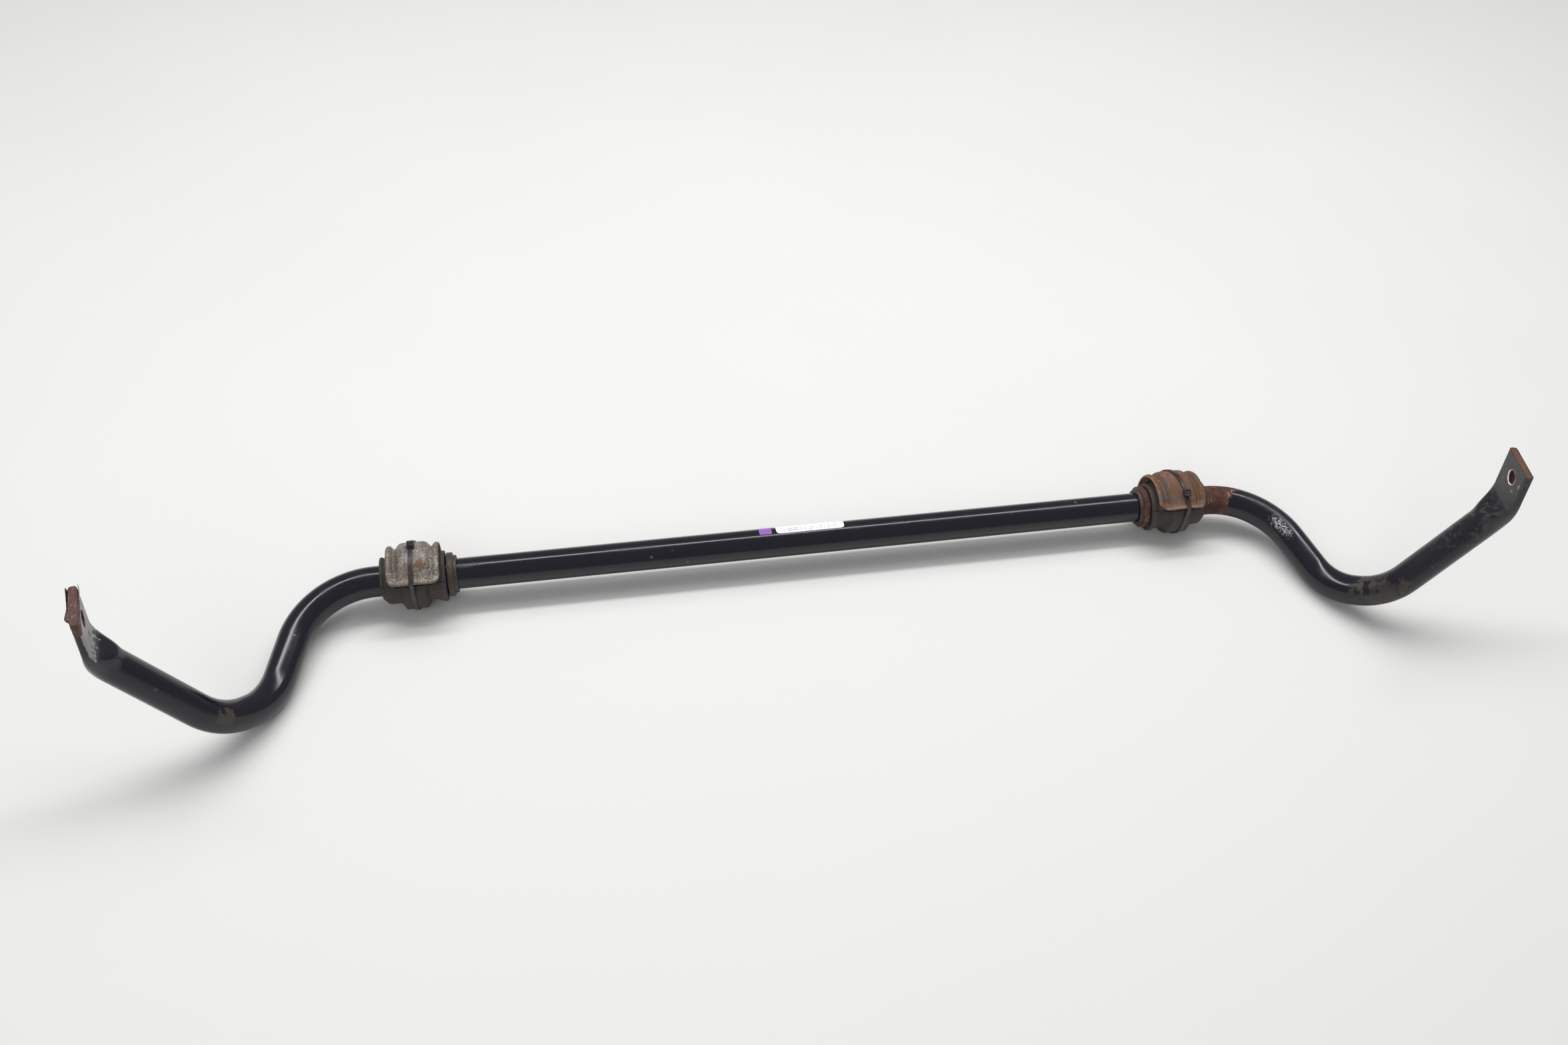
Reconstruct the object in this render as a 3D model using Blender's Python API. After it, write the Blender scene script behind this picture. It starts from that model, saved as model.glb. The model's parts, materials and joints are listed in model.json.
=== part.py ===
"""Stabiliser bar: a bent steel tube with flattened link eyes, on two split bushes in saddle clamps.

Each side is the mirror image of the other. The bar's straight run lies on the X axis of the empty
called bar_axis, and everything on a mount is built about that same axis, in a frame whose +Z points
from the axis to the crown of the clamp.
"""
import math

import bpy
import numpy as np

MM = 0.001
X_AXIS = np.array([1.0, 0.0, 0.0])

# Tube and its bends, from the straight run out to the right eye, whose outer face is at half of
# EYE_TO_EYE. Each leg has a direction, and a straight length between the bends at its two ends.
EYE_TO_EYE = 1100.0 * MM
TUBE_RADIUS = 13.0 * MM
TUBE_WALL = 3.2 * MM
LEG_DIRECTIONS = ((30.1, -102.0, -17.0), (30.9, -31.1, 21.9), (66.6, -1.3, 96.8), (-1.5, 3.3, 49.2))
LEG_STRAIGHTS = (34.29 * MM, 3.05 * MM, 74.79 * MM, 30.19 * MM)
BEND_RADII = (68.0 * MM, 54.0 * MM, 60.0 * MM, 58.0 * MM)
BEND_STEPS = (7, 5, 5, 6)
TUBE_SIDES = 24
BORE_SIDES = 16

# Flattened eye with its link hole.
EYE_WIDTH = 39.0 * MM
EYE_THICKNESS = 6.2 * MM
EYE_SLIT = 0.4 * MM
EYE_WALL = (EYE_THICKNESS - EYE_SLIT) / 2
EYE_TURN = math.radians(-10.5)
LINK_HOLE_RADIUS = 6.2 * MM
LINK_HOLE_FROM_END = 15.0 * MM

# Clearances between pieces that touch.
TOUCH_GAP = 0.3 * MM
BORE_GAP = 0.35 * MM
RING_TO_BUSH_GAP = 1.2 * MM

# Mount: saddle clamp, bush halves and their inserts. Heights are above the skin of the tube.
BUSH_TO_BEND = 5.27 * MM
MOUNT_LEAN = math.radians(-31.0)
BULGE_HALF_WIDTH = 8.5 * MM
BULGE_SLOPE = 3.5 * MM
BULGE_RADIUS = TUBE_RADIUS + 12.9 * MM

CLAMP_THICKNESS = 2.4 * MM
CLAMP_OVER_BULGE = 1.5 * MM
CLAMP_GROOVE_RUN = 5.5 * MM
CLAMP_FLARE_RUN = 6.5 * MM
CLAMP_VALLEY = BULGE_HALF_WIDTH + CLAMP_OVER_BULGE + CLAMP_GROOVE_RUN
CLAMP_LENGTH = 2 * (CLAMP_VALLEY + CLAMP_FLARE_RUN)
VALLEY_RADIUS = TUBE_RADIUS + 12.2 * MM
FLARE_RADIUS = VALLEY_RADIUS + 3.1 * MM
CROWN_RADIUS = VALLEY_RADIUS + 4.8 * MM
EDGE_RADIUS = CROWN_RADIUS + 3.0 * MM
FLARE_LIP_RUN = 2.5 * MM
FLARE_LIP_RISE = 0.4 * MM
VALLEY_HALF_WIDTH = 1.2 * MM
VALLEY_RISE = 0.6 * MM
CROWN_EDGE_HALF_WIDTH = 1.0 * MM
CROWN_EDGE_DROP = 0.9 * MM
CLAMP_HALF_ANGLE = math.radians(82.0)
EDGE_RUN = math.radians(11.0)
CLAMP_CORNER = 6.5 * MM
CLAMP_ROWS = 22

FLANGE_WIDTH = 3.0 * MM
CLAMP_TO_FLANGE_GAP = 0.5 * MM
BUSH_INBOARD = CLAMP_LENGTH / 2 + CLAMP_TO_FLANGE_GAP + FLANGE_WIDTH
BUSH_OUTBOARD = CLAMP_LENGTH / 2 + 5.5 * MM
FLANGE_RADIUS = TUBE_RADIUS + 9.0 * MM
UPPER_FLANGE_RADIUS = TUBE_RADIUS + 7.5 * MM
FLANGE_CHAMFER = 1.0 * MM
FLANGE_FOOT_RUN = 2.0 * MM
GROOVE_RADIUS = TUBE_RADIUS + 6.5 * MM
GROOVE_RUN = 5.0 * MM
GROOVE_RISE = 0.4 * MM
BULGE_CHAMFER = 0.8 * MM
BLOCK_RADIUS = TUBE_RADIUS + 7.2 * MM
BLOCK_CHAMFER = 5.0 * MM
SEAT_FLAT_DISTANCE = TUBE_RADIUS + 6.0 * MM
RIM_RADIUS = TUBE_RADIUS + 6.6 * MM
RIM_WIDTH = 2.0 * MM
RIM_SLOPE_RUN = 1.0 * MM
UPPER_NECK_RADIUS = TUBE_RADIUS + 5.6 * MM
LEDGE_RADIUS = CROWN_RADIUS - 1.0 * MM
LEDGE_HALF_LENGTH = CLAMP_VALLEY + 1.5 * MM
LEDGE_ANGLE = math.radians(2.4)
LEDGE_EDGE_ANGLE = math.radians(0.15)
BUSH_STEPS = 20
INSERT_INNER_RADIUS = TUBE_RADIUS + 2.6 * MM
INSERT_THICKNESS = 1.5 * MM
INSERT_HALF_LENGTH = CLAMP_VALLEY + 2.5 * MM
INSERT_STEPS = 14

# Stop ring: a narrow rim on the inboard side of a taller flange.
RING_RIM_RADIUS = TUBE_RADIUS + 3.0 * MM
RING_RIM_WIDTH = 3.0 * MM
RING_FLANGE_RADIUS = TUBE_RADIUS + 5.5 * MM
RING_FLANGE_WIDTH = 5.0 * MM
RING_CHAMFER = 0.9 * MM
RING_SIDES = 40

# Cable tie round each mount.
TIE_WIDTH = 3.6 * MM
TIE_THICKNESS = 1.1 * MM
TIE_HEAD = (TIE_WIDTH + 2.6 * MM, 6.4 * MM, 4.8 * MM)
TIE_WINDOW = (TIE_WIDTH, 3.0 * MM, 3.0 * MM)
TIE_ARC_STEP = math.radians(9.0)
BARB = (TIE_WIDTH - 1.2 * MM, 0.5 * MM, 1.6 * MM)
TIE_SLANT = {"left": 1.4 * MM, "right": 3.2 * MM}
TIE_HEAD_ANGLE = {"left": math.radians(16.0), "right": math.radians(59.0)}

# Stickers on the back of the straight run: ends along X and angles from the top towards the back.
STICKER_THICKNESS = 0.25 * MM
STICKER_STEPS = 9
LABEL_ENDS = (-29.0 * MM, 31.0 * MM)
LABEL_ANGLES = (math.radians(-8.0), math.radians(76.0))
PATCH_ENDS = (-44.0 * MM, -33.0 * MM)
PATCH_ANGLES = (math.radians(-6.0), math.radians(76.0))


def clear_scene():
    """Remove every object that the file starts with."""
    for item in list(bpy.data.objects):
        bpy.data.objects.remove(item, do_unlink=True)


def material(name, color, roughness, metallic=0.0):
    """A Principled material."""
    mat = bpy.data.materials.new(name)
    mat.use_nodes = True
    shader = mat.node_tree.nodes["Principled BSDF"]
    shader.inputs["Base Color"].default_value = (*color, 1.0)
    shader.inputs["Roughness"].default_value = roughness
    shader.inputs["Metallic"].default_value = metallic
    return mat


def new_object(name, vertices, faces, mat, parent):
    """One mesh object, shaded smooth except at its hard edges."""
    mesh = bpy.data.meshes.new(name)
    mesh.from_pydata([tuple(v) for v in vertices], [], faces)
    mesh.validate()
    mesh.shade_smooth()
    mesh.set_sharp_from_angle(angle=math.radians(35.0))
    item = bpy.data.objects.new(name, mesh)
    item.parent = parent
    if mat:
        mesh.materials.append(mat)
    bpy.context.collection.objects.link(item)
    return item


def empty(name, location, tilt=0.0, parent=None):
    """An axis that pieces are parented to."""
    axis = bpy.data.objects.new(name, None)
    axis.location = location
    axis.rotation_euler = (tilt, 0.0, 0.0)
    axis.parent = parent
    bpy.context.collection.objects.link(axis)
    return axis


def cutter(name, vertices, faces, parent):
    """A guide that other pieces are cut with."""
    item = new_object(name, vertices, faces, None, parent)
    item.hide_render = True
    item.display_type = "WIRE"
    return item


def boolean(item, other, operation="DIFFERENCE"):
    """Cut or join one object with another."""
    mod = item.modifiers.new(operation.title(), "BOOLEAN")
    mod.operation = operation
    mod.solver = "EXACT"
    mod.object = other


def grid_faces(rows, columns, close_rows=False, close_columns=False, start=0):
    """Quads over a grid of vertices, row by row."""
    faces = []
    for i in range(rows if close_rows else rows - 1):
        for j in range(columns if close_columns else columns - 1):
            a = start + i * columns + j
            b = start + i * columns + (j + 1) % columns
            c = start + (i + 1) % rows * columns + (j + 1) % columns
            d = start + (i + 1) % rows * columns + j
            faces.append((a, b, c, d))
    return faces


def flip(faces):
    """The same faces, seen from the other side."""
    return [tuple(reversed(face)) for face in faces]


def for_side(side, vertices, faces):
    """A right-hand shape as it is, or its mirror image for the left."""
    vertices = np.asarray(vertices, dtype=float).copy()
    if side == "right":
        return vertices, faces
    vertices[:, 0] *= -1.0
    return vertices, flip(faces)


def box_shape(centre, size):
    """Vertices and faces of a box."""
    corners = [(x, y, z) for x in (-0.5, 0.5) for y in (-0.5, 0.5) for z in (-0.5, 0.5)]
    vertices = np.array(corners) * np.array(size) + np.array(centre)
    faces = [(0, 1, 3, 2), (4, 6, 7, 5), (0, 4, 5, 1), (2, 3, 7, 6), (0, 2, 6, 4), (1, 5, 7, 3)]
    return vertices, faces


# ---------------------------------------------------------------- the bar

def bent_path(corners, radii, steps):
    """Points and tangents along straight runs joined by arcs, and the arc each point is on."""
    points, tangents, arcs = [corners[0]], [unit(corners[1] - corners[0])], [0]
    for index, radius in enumerate(radii, start=1):
        inward = unit(corners[index] - corners[index - 1])
        outward = unit(corners[index + 1] - corners[index])
        turn = math.acos(np.dot(inward, outward))
        tangent_length = bend_reach(inward, outward, radius)
        start = corners[index] - inward * tangent_length
        centre = corners[index] + unit(outward - inward) * radius / math.cos(turn / 2)
        spoke = start - centre
        for step in range(steps[index - 1] + 1):
            angle = turn * step / steps[index - 1]
            points.append(centre + spoke * math.cos(angle) + inward * radius * math.sin(angle))
            tangents.append(inward * math.cos(angle) - spoke / radius * math.sin(angle))
            arcs.append(index)
    points.append(corners[-1])
    tangents.append(unit(corners[-1] - corners[-2]))
    arcs.append(len(radii) + 1)
    return np.array(points), np.array(tangents), arcs


def bend_reach(inward, outward, radius):
    """Distance from a bend's corner to where its arc starts."""
    return radius * math.tan(math.acos(np.dot(inward, outward)) / 2)


def unit(vector):
    """A vector of length one."""
    vector = np.asarray(vector, dtype=float)
    return vector / np.linalg.norm(vector)


def bar_corners():
    """Corners of the right half's path, from the middle of the car to the cut end of the eye."""
    directions = [X_AXIS] + [unit(direction) for direction in LEG_DIRECTIONS]
    reaches = [bend_reach(*pair, radius)
               for *pair, radius in zip(directions[:-1], directions[1:], BEND_RADII)]
    lengths = np.array(reaches) + LEG_STRAIGHTS + (reaches[1:] + [0.0])
    legs = np.array(directions[1:]) * lengths[:, None]
    first_bend = (EYE_TO_EYE - EYE_THICKNESS) / 2 - legs[:3, 0].sum()
    corners = [np.zeros(3), np.array([first_bend, 0.0, 0.0])]
    for leg in legs:
        corners.append(corners[-1] + leg)
    return corners


def eye_frame(corners):
    """The eye's own directions: along it, across its width, and out through its outer face."""
    along = unit(corners[-1] - corners[-2])
    flat = unit(X_AXIS - along * np.dot(X_AXIS, along))
    side = np.cross(along, flat)
    outward = flat * math.cos(EYE_TURN) + side * math.sin(EYE_TURN)
    return along, np.cross(along, outward), outward


def section_directions(tangents, across_at_end):
    """Width direction at each station, carried back from the eye without twist."""
    directions = [across_at_end]
    for tangent in tangents[-2::-1]:
        across = directions[-1] - tangent * np.dot(directions[-1], tangent)
        directions.append(unit(across))
    return np.array(directions[::-1])


def flattening(points, arcs):
    """0 on the round tube, rising smoothly to 1 through the last bend."""
    last_arc = max(arcs) - 1
    steps = np.concatenate([[0.0], np.cumsum(np.linalg.norm(np.diff(points, axis=0), axis=1))])
    on_arc = [i for i, arc in enumerate(arcs) if arc == last_arc]
    share = (steps - steps[on_arc[0]]) / (steps[on_arc[-1]] - steps[on_arc[0]])
    share = np.clip(share, 0.0, 1.0)
    return share * share * (3.0 - 2.0 * share)


def tube_surface(points, tangents, across, flat, sides, inset_round, inset_flat):
    """Rings of an oval that goes from a circle to a flat-sided slot shape along the path."""
    angles = (np.arange(sides) + 0.5) / sides * 2 * math.pi
    out = np.cross(across, tangents)
    inset = inset_round + (inset_flat - inset_round) * flat
    half_width = TUBE_RADIUS + (EYE_WIDTH / 2 - TUBE_RADIUS) * flat - inset
    half_depth = TUBE_RADIUS + (EYE_THICKNESS / 2 - TUBE_RADIUS) * flat - inset
    shift = (half_width - half_depth)[:, None] * np.sign(np.cos(angles))
    u = shift + half_depth[:, None] * np.cos(angles)
    v = half_depth[:, None] * np.sin(angles)
    return points[:, None] + across[:, None] * u[..., None] + out[:, None] * v[..., None]


def tube_rings(corners, sides, inset_round, inset_flat):
    """Rings of the bar's skin or bore, from the left cut end to the right one."""
    points, tangents, arcs = bent_path(corners, BEND_RADII, BEND_STEPS)
    across = section_directions(tangents, eye_frame(corners)[1])
    flat = flattening(points, arcs)
    right = tube_surface(points, tangents, across, flat, sides, inset_round, inset_flat)
    left = right[:0:-1] * np.array([-1.0, 1.0, 1.0])
    return np.concatenate([left, right])


def make_bar(corners, mats, parent):
    """The one-piece bar: a hollow bent tube, squashed flat and drilled at both ends."""
    skin = tube_rings(corners, TUBE_SIDES, 0.0, 0.0)
    bore = tube_rings(corners, BORE_SIDES, TUBE_WALL, EYE_WALL)
    vertices = np.concatenate([skin.reshape(-1, 3), bore.reshape(-1, 3)])
    bore_start = len(skin) * TUBE_SIDES
    faces = flip(grid_faces(len(skin), TUBE_SIDES, close_columns=True))
    faces += grid_faces(len(bore), BORE_SIDES, close_columns=True, start=bore_start)
    faces += end_ring(0, bore_start, False)
    faces += end_ring(bore_start - TUBE_SIDES, len(vertices) - BORE_SIDES, True)
    bar = new_object("stabilizer_bar", vertices, faces, mats["paint"], parent)
    along, across, outward = eye_frame(corners)
    hole_centre = corners[-1] - along * LINK_HOLE_FROM_END
    for side in ("left", "right"):
        boolean(bar, link_hole(side, hole_centre, across, outward, parent))


def end_ring(outer_start, inner_start, far_end):
    """The annular face at one end of the bar, as quads and triangles between its two loops."""
    faces = []
    done = 0
    for j in range(TUBE_SIDES):
        a = outer_start + j
        b = outer_start + (j + 1) % TUBE_SIDES
        target = round((j + 1) * BORE_SIDES / TUBE_SIDES)
        inner = inner_start + done % BORE_SIDES
        if target > done:
            following = inner_start + target % BORE_SIDES
            faces.append((a, b, following, inner))
            done = target
        else:
            faces.append((a, b, inner))
    return flip(faces) if far_end else faces


def link_hole(side, centre, across, outward, parent):
    """A round cutter through one eye."""
    along = np.cross(across, outward)
    angles = np.arange(TUBE_SIDES) / TUBE_SIDES * 2 * math.pi
    circle = np.cos(angles)[:, None] * across + np.sin(angles)[:, None] * along
    reach = outward * EYE_THICKNESS
    vertices = np.concatenate([centre - reach + circle * LINK_HOLE_RADIUS,
                               centre + reach + circle * LINK_HOLE_RADIUS])
    faces = flip(grid_faces(2, TUBE_SIDES, close_columns=True))
    faces.append(tuple(range(TUBE_SIDES)))
    faces.append(tuple(range(2 * TUBE_SIDES - 1, TUBE_SIDES - 1, -1)))
    return cutter(f"{side}_link_hole", *for_side(side, vertices, faces), parent)


# ---------------------------------------------------------------- turned pieces

def turned(profile, sides):
    """A closed (x, r) profile turned once round the X axis."""
    profile = np.asarray(profile)
    angles = np.arange(sides) / sides * 2 * math.pi
    rows = [np.stack([profile[:, 0], profile[:, 1] * math.sin(a), profile[:, 1] * math.cos(a)], 1)
            for a in angles]
    faces = flip(grid_faces(sides, len(profile), close_rows=True, close_columns=True))
    return np.concatenate(rows), faces


def turned_part(rows):
    """Closed (x, r) profiles at given angles from +Z, joined and capped at both ends."""
    count = len(rows[0][1])
    vertices = []
    for angle, profile in rows:
        for x, r in profile:
            vertices.append((x, -r * math.sin(angle), r * math.cos(angle)))
    faces = flip(grid_faces(len(rows), count, close_columns=True))
    faces.append(tuple(range(count)))
    faces.append(tuple(range(len(vertices) - 1, len(vertices) - count - 1, -1)))
    return np.array(vertices), faces


def even_rows(profile, start, end, steps):
    """The same profile at equal steps of angle."""
    return [(start + (end - start) * k / steps, profile) for k in range(steps + 1)]


def make_ring(side, mats, parent):
    """A stop ring, pressed on the tube inboard of the bush."""
    outboard = mount_x() - BUSH_INBOARD - RING_TO_BUSH_GAP
    step = outboard - RING_FLANGE_WIDTH
    inboard = step - RING_RIM_WIDTH
    bore = TUBE_RADIUS + BORE_GAP
    profile = [(inboard, bore), (outboard, bore),
               (outboard, RING_FLANGE_RADIUS - RING_CHAMFER),
               (outboard - RING_CHAMFER, RING_FLANGE_RADIUS),
               (step + RING_CHAMFER, RING_FLANGE_RADIUS),
               (step, RING_FLANGE_RADIUS - RING_CHAMFER),
               (step, RING_RIM_RADIUS),
               (inboard + RING_CHAMFER, RING_RIM_RADIUS),
               (inboard, RING_RIM_RADIUS - RING_CHAMFER)]
    vertices, faces = turned(profile, RING_SIDES)
    new_object(f"{side}_stop_ring", *for_side(side, vertices, faces), mats["ring"], parent)


def clamp_profile():
    """The clamp's outer line along X: flared side, groove, raised crown, groove, flared side."""
    end = CLAMP_LENGTH / 2
    shoulder = BULGE_HALF_WIDTH + CLAMP_OVER_BULGE
    half = [(end, FLARE_RADIUS), (end - FLARE_LIP_RUN, FLARE_RADIUS + FLARE_LIP_RISE),
            (CLAMP_VALLEY + VALLEY_HALF_WIDTH, VALLEY_RADIUS + VALLEY_RISE),
            (CLAMP_VALLEY, VALLEY_RADIUS),
            (CLAMP_VALLEY - VALLEY_HALF_WIDTH, VALLEY_RADIUS + VALLEY_RISE),
            (shoulder + CROWN_EDGE_HALF_WIDTH, CROWN_RADIUS - CROWN_EDGE_DROP),
            (shoulder - CROWN_EDGE_HALF_WIDTH, CROWN_RADIUS)]
    other = [(-x, r) for x, r in half]
    return np.array(other + half[::-1])


def offset_inward(profile, distance):
    """The profile moved towards the axis, square to itself."""
    steps = np.gradient(profile, axis=0)
    steps /= np.linalg.norm(steps, axis=1)[:, None]
    return profile + np.stack([steps[:, 1], -steps[:, 0]], 1) * distance


def clamp_grid():
    """Outer surface of the clamp: the profile round the crown, turned out and rounded at its edges."""
    profile = clamp_profile()
    end = CLAMP_LENGTH / 2
    t = np.linspace(-1.0, 1.0, CLAMP_ROWS)
    angles = np.sign(t) * (1 - (1 - np.abs(t)) ** 1.35) * CLAMP_HALF_ANGLE
    lift = np.clip((np.abs(angles) - CLAMP_HALF_ANGLE + EDGE_RUN) / EDGE_RUN, 0.0, 1.0) ** 2
    radius = profile[None, :, 1] + (EDGE_RADIUS - profile[None, :, 1]) * lift[:, None]
    from_edge = (CLAMP_HALF_ANGLE - np.abs(angles)) * EDGE_RADIUS
    into_corner = np.clip(CLAMP_CORNER - from_edge, 0.0, CLAMP_CORNER)
    half = end - CLAMP_CORNER + np.sqrt(CLAMP_CORNER ** 2 - into_corner ** 2)
    x = profile[None, :, 0] * (half / end)[:, None]
    y = -radius * np.sin(angles)[:, None]
    z = radius * np.cos(angles)[:, None]
    return np.stack([x, y, z], -1)


def grid_normals(grid):
    """Unit normals of a grid of points, away from the axis."""
    normal = np.cross(np.gradient(grid, axis=1), np.gradient(grid, axis=0))
    normal /= np.linalg.norm(normal, axis=2)[..., None]
    outward = grid * np.array([0.0, 1.0, 1.0])
    return normal * np.sign((normal * outward).sum(2))[..., None]


def sheet_shape(outer, thickness):
    """A grid of points and its copy one thickness inside, closed along the border."""
    inner = outer - grid_normals(outer) * thickness
    rows, columns = outer.shape[:2]
    vertices = np.concatenate([outer.reshape(-1, 3), inner.reshape(-1, 3)])
    count = rows * columns
    faces = grid_faces(rows, columns) + flip(grid_faces(rows, columns, start=count))
    border = [i * columns for i in range(rows)]
    border += [(rows - 1) * columns + j for j in range(1, columns)]
    border += [i * columns + columns - 1 for i in range(rows - 2, -1, -1)]
    border += list(range(columns - 2, 0, -1))
    for a, b in zip(border, border[1:] + border[:1]):
        faces.append((a, b, b + count, a + count))
    return vertices, flip(faces)


def make_clamp(side, mats, parent):
    """The stamped saddle clamp."""
    vertices, faces = sheet_shape(clamp_grid(), CLAMP_THICKNESS)
    vertices = vertices + side_shift()
    new_object(f"{side}_clamp", *for_side(side, vertices, faces), mats[f"{side}_clamp"], parent)


def parting_angle():
    """Angle left free at each parting face of the bush, half of the touch gap at its bore."""
    return TOUCH_GAP / 2 / (TUBE_RADIUS + BORE_GAP)


def upper_profile():
    """The upper bush half: it fills the clamp, with a flange inboard and a thin rim outboard."""
    bore = TUBE_RADIUS + BORE_GAP
    under_clamp = offset_inward(clamp_profile(), CLAMP_THICKNESS + TOUCH_GAP)
    filled = [tuple(p) for p in under_clamp[3:-3]]
    flange_end = -BUSH_INBOARD + FLANGE_WIDTH
    rim_start = BUSH_OUTBOARD - RIM_WIDTH
    inboard = [(-BUSH_INBOARD, bore), (-BUSH_INBOARD, UPPER_FLANGE_RADIUS - FLANGE_CHAMFER),
               (-BUSH_INBOARD + FLANGE_CHAMFER, UPPER_FLANGE_RADIUS), (flange_end, UPPER_FLANGE_RADIUS),
               (flange_end + FLANGE_FOOT_RUN, GROOVE_RADIUS)]
    outboard = [(rim_start - RIM_SLOPE_RUN, UPPER_NECK_RADIUS), (rim_start, RIM_RADIUS),
                (BUSH_OUTBOARD, RIM_RADIUS), (BUSH_OUTBOARD, bore)]
    return inboard + filled + outboard


def lower_profile():
    """The lower bush half: flange, groove, bulge and a block with a chamfered end."""
    bore = TUBE_RADIUS + BORE_GAP
    foot = BULGE_HALF_WIDTH + BULGE_SLOPE
    bulge_side = BULGE_HALF_WIDTH + BULGE_CHAMFER
    inboard = [(-BUSH_INBOARD, bore), (-BUSH_INBOARD, FLANGE_RADIUS - FLANGE_CHAMFER),
               (-BUSH_INBOARD + FLANGE_CHAMFER, FLANGE_RADIUS),
               (-BUSH_INBOARD + FLANGE_WIDTH, FLANGE_RADIUS),
               (-foot - GROOVE_RUN, GROOVE_RADIUS + GROOVE_RISE), (-foot, GROOVE_RADIUS)]
    bulge = [(-bulge_side, BULGE_RADIUS - BULGE_CHAMFER), (-BULGE_HALF_WIDTH, BULGE_RADIUS),
             (BULGE_HALF_WIDTH, BULGE_RADIUS), (bulge_side, BULGE_RADIUS - BULGE_CHAMFER)]
    block = [(foot, BLOCK_RADIUS), (BUSH_OUTBOARD - BLOCK_CHAMFER, BLOCK_RADIUS),
             (BUSH_OUTBOARD, BLOCK_RADIUS - BLOCK_CHAMFER), (BUSH_OUTBOARD, bore)]
    return inboard + bulge + block


def with_ledge(profile):
    """The upper half's profile where it spreads into the ledge under the clamp's edge."""
    spread = []
    for x, r in profile:
        if abs(x) <= LEDGE_HALF_LENGTH and r > GROOVE_RADIUS:
            spread.append((x, LEDGE_RADIUS))
        else:
            spread.append((x, r))
    return spread


def insert_profile(allowance):
    """A thin half shell, or its pocket when an allowance is added all round."""
    inner = INSERT_INNER_RADIUS - allowance
    outer = INSERT_INNER_RADIUS + INSERT_THICKNESS + allowance
    end = INSERT_HALF_LENGTH + allowance
    return [(-end, inner), (-end, outer), (end, outer), (end, inner)]


def make_bush(side, mats, parent):
    """Both bush halves, each with its insert in a pocket that opens at the parting face."""
    centre = side_shift()
    quarter = math.pi / 2
    trim = parting_angle()
    ledge_end = quarter - trim
    ledge_start = ledge_end - LEDGE_ANGLE
    base = upper_profile()
    ledge = with_ledge(base)
    rows = [(-ledge_end, ledge), (-ledge_start, ledge)]
    rows += even_rows(base, LEDGE_EDGE_ANGLE - ledge_start, ledge_start - LEDGE_EDGE_ANGLE, BUSH_STEPS)
    rows += [(ledge_start, ledge), (ledge_end, ledge)]
    upper_shape = turned_part(rows)
    lower_shape = turned_part(even_rows(lower_profile(), quarter + trim, 3 * quarter - trim, BUSH_STEPS))
    on_block = lower_shape[0][:, 0] > BULGE_HALF_WIDTH + BULGE_CHAMFER + BULGE_SLOPE / 2
    lower_shape[0][on_block, 2] = np.maximum(lower_shape[0][on_block, 2], -SEAT_FLAT_DISTANCE)
    for half, shape, start in (("upper", upper_shape, -quarter), ("lower", lower_shape, quarter)):
        vertices, faces = for_side(side, shape[0] + centre, shape[1])
        bush = new_object(f"{side}_bush_{half}", vertices, faces, mats["rubber"], parent)
        overrun = 2 * trim
        pocket = turned_part(even_rows(insert_profile(TOUCH_GAP), start - overrun,
                                       start + math.pi + overrun, INSERT_STEPS))
        vertices, faces = for_side(side, pocket[0] + centre, pocket[1])
        boolean(bush, cutter(f"{side}_{half}_pocket", vertices, faces, parent))
        shell = turned_part(even_rows(insert_profile(0.0), start + 2 * trim,
                                      start + math.pi - 2 * trim, INSERT_STEPS))
        vertices, faces = for_side(side, shell[0] + centre, shell[1])
        new_object(f"{side}_insert_{half}", vertices, faces, mats["insert"], parent)


def mount_x():
    """Distance of each mount from the middle, so that the bush ends short of the first bend."""
    corners = bar_corners()
    reach = bend_reach(X_AXIS, unit(corners[2] - corners[1]), BEND_RADII[0])
    return corners[1][0] - reach - BUSH_TO_BEND - BUSH_OUTBOARD


def side_shift():
    """Moves a piece built about its own middle out to the right mount."""
    return np.array([mount_x(), 0.0, 0.0])


# ---------------------------------------------------------------- cable ties

def tie_line():
    """Inner line of the tie in its own plane: over the crown, off the clamp's edges, round the bulge.

    A tight strap follows the crown's circle, leaves it along a tangent to the clamp's edge, and
    from the edge runs along a tangent to the circle of the bulge. Angles are from +Z.
    """
    crown = CROWN_RADIUS + TOUCH_GAP
    bulge = BULGE_RADIUS + TOUCH_GAP
    edge = EDGE_RADIUS + TOUCH_GAP
    off_crown = CLAMP_HALF_ANGLE - math.acos(crown / edge)
    onto_bulge = CLAMP_HALF_ANGLE + math.acos(bulge / edge)
    line = [(crown, a) for a in arc_angles(-off_crown, off_crown)]
    line.append((edge, CLAMP_HALF_ANGLE))
    line += [(bulge, a) for a in arc_angles(onto_bulge, 2 * math.pi - onto_bulge)]
    line.append((edge, -CLAMP_HALF_ANGLE))
    return line


def arc_angles(start, end):
    """Angles at even steps close to the tie's arc step."""
    steps = math.ceil((end - start) / TIE_ARC_STEP)
    return [start + (end - start) * k / steps for k in range(steps + 1)]


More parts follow.
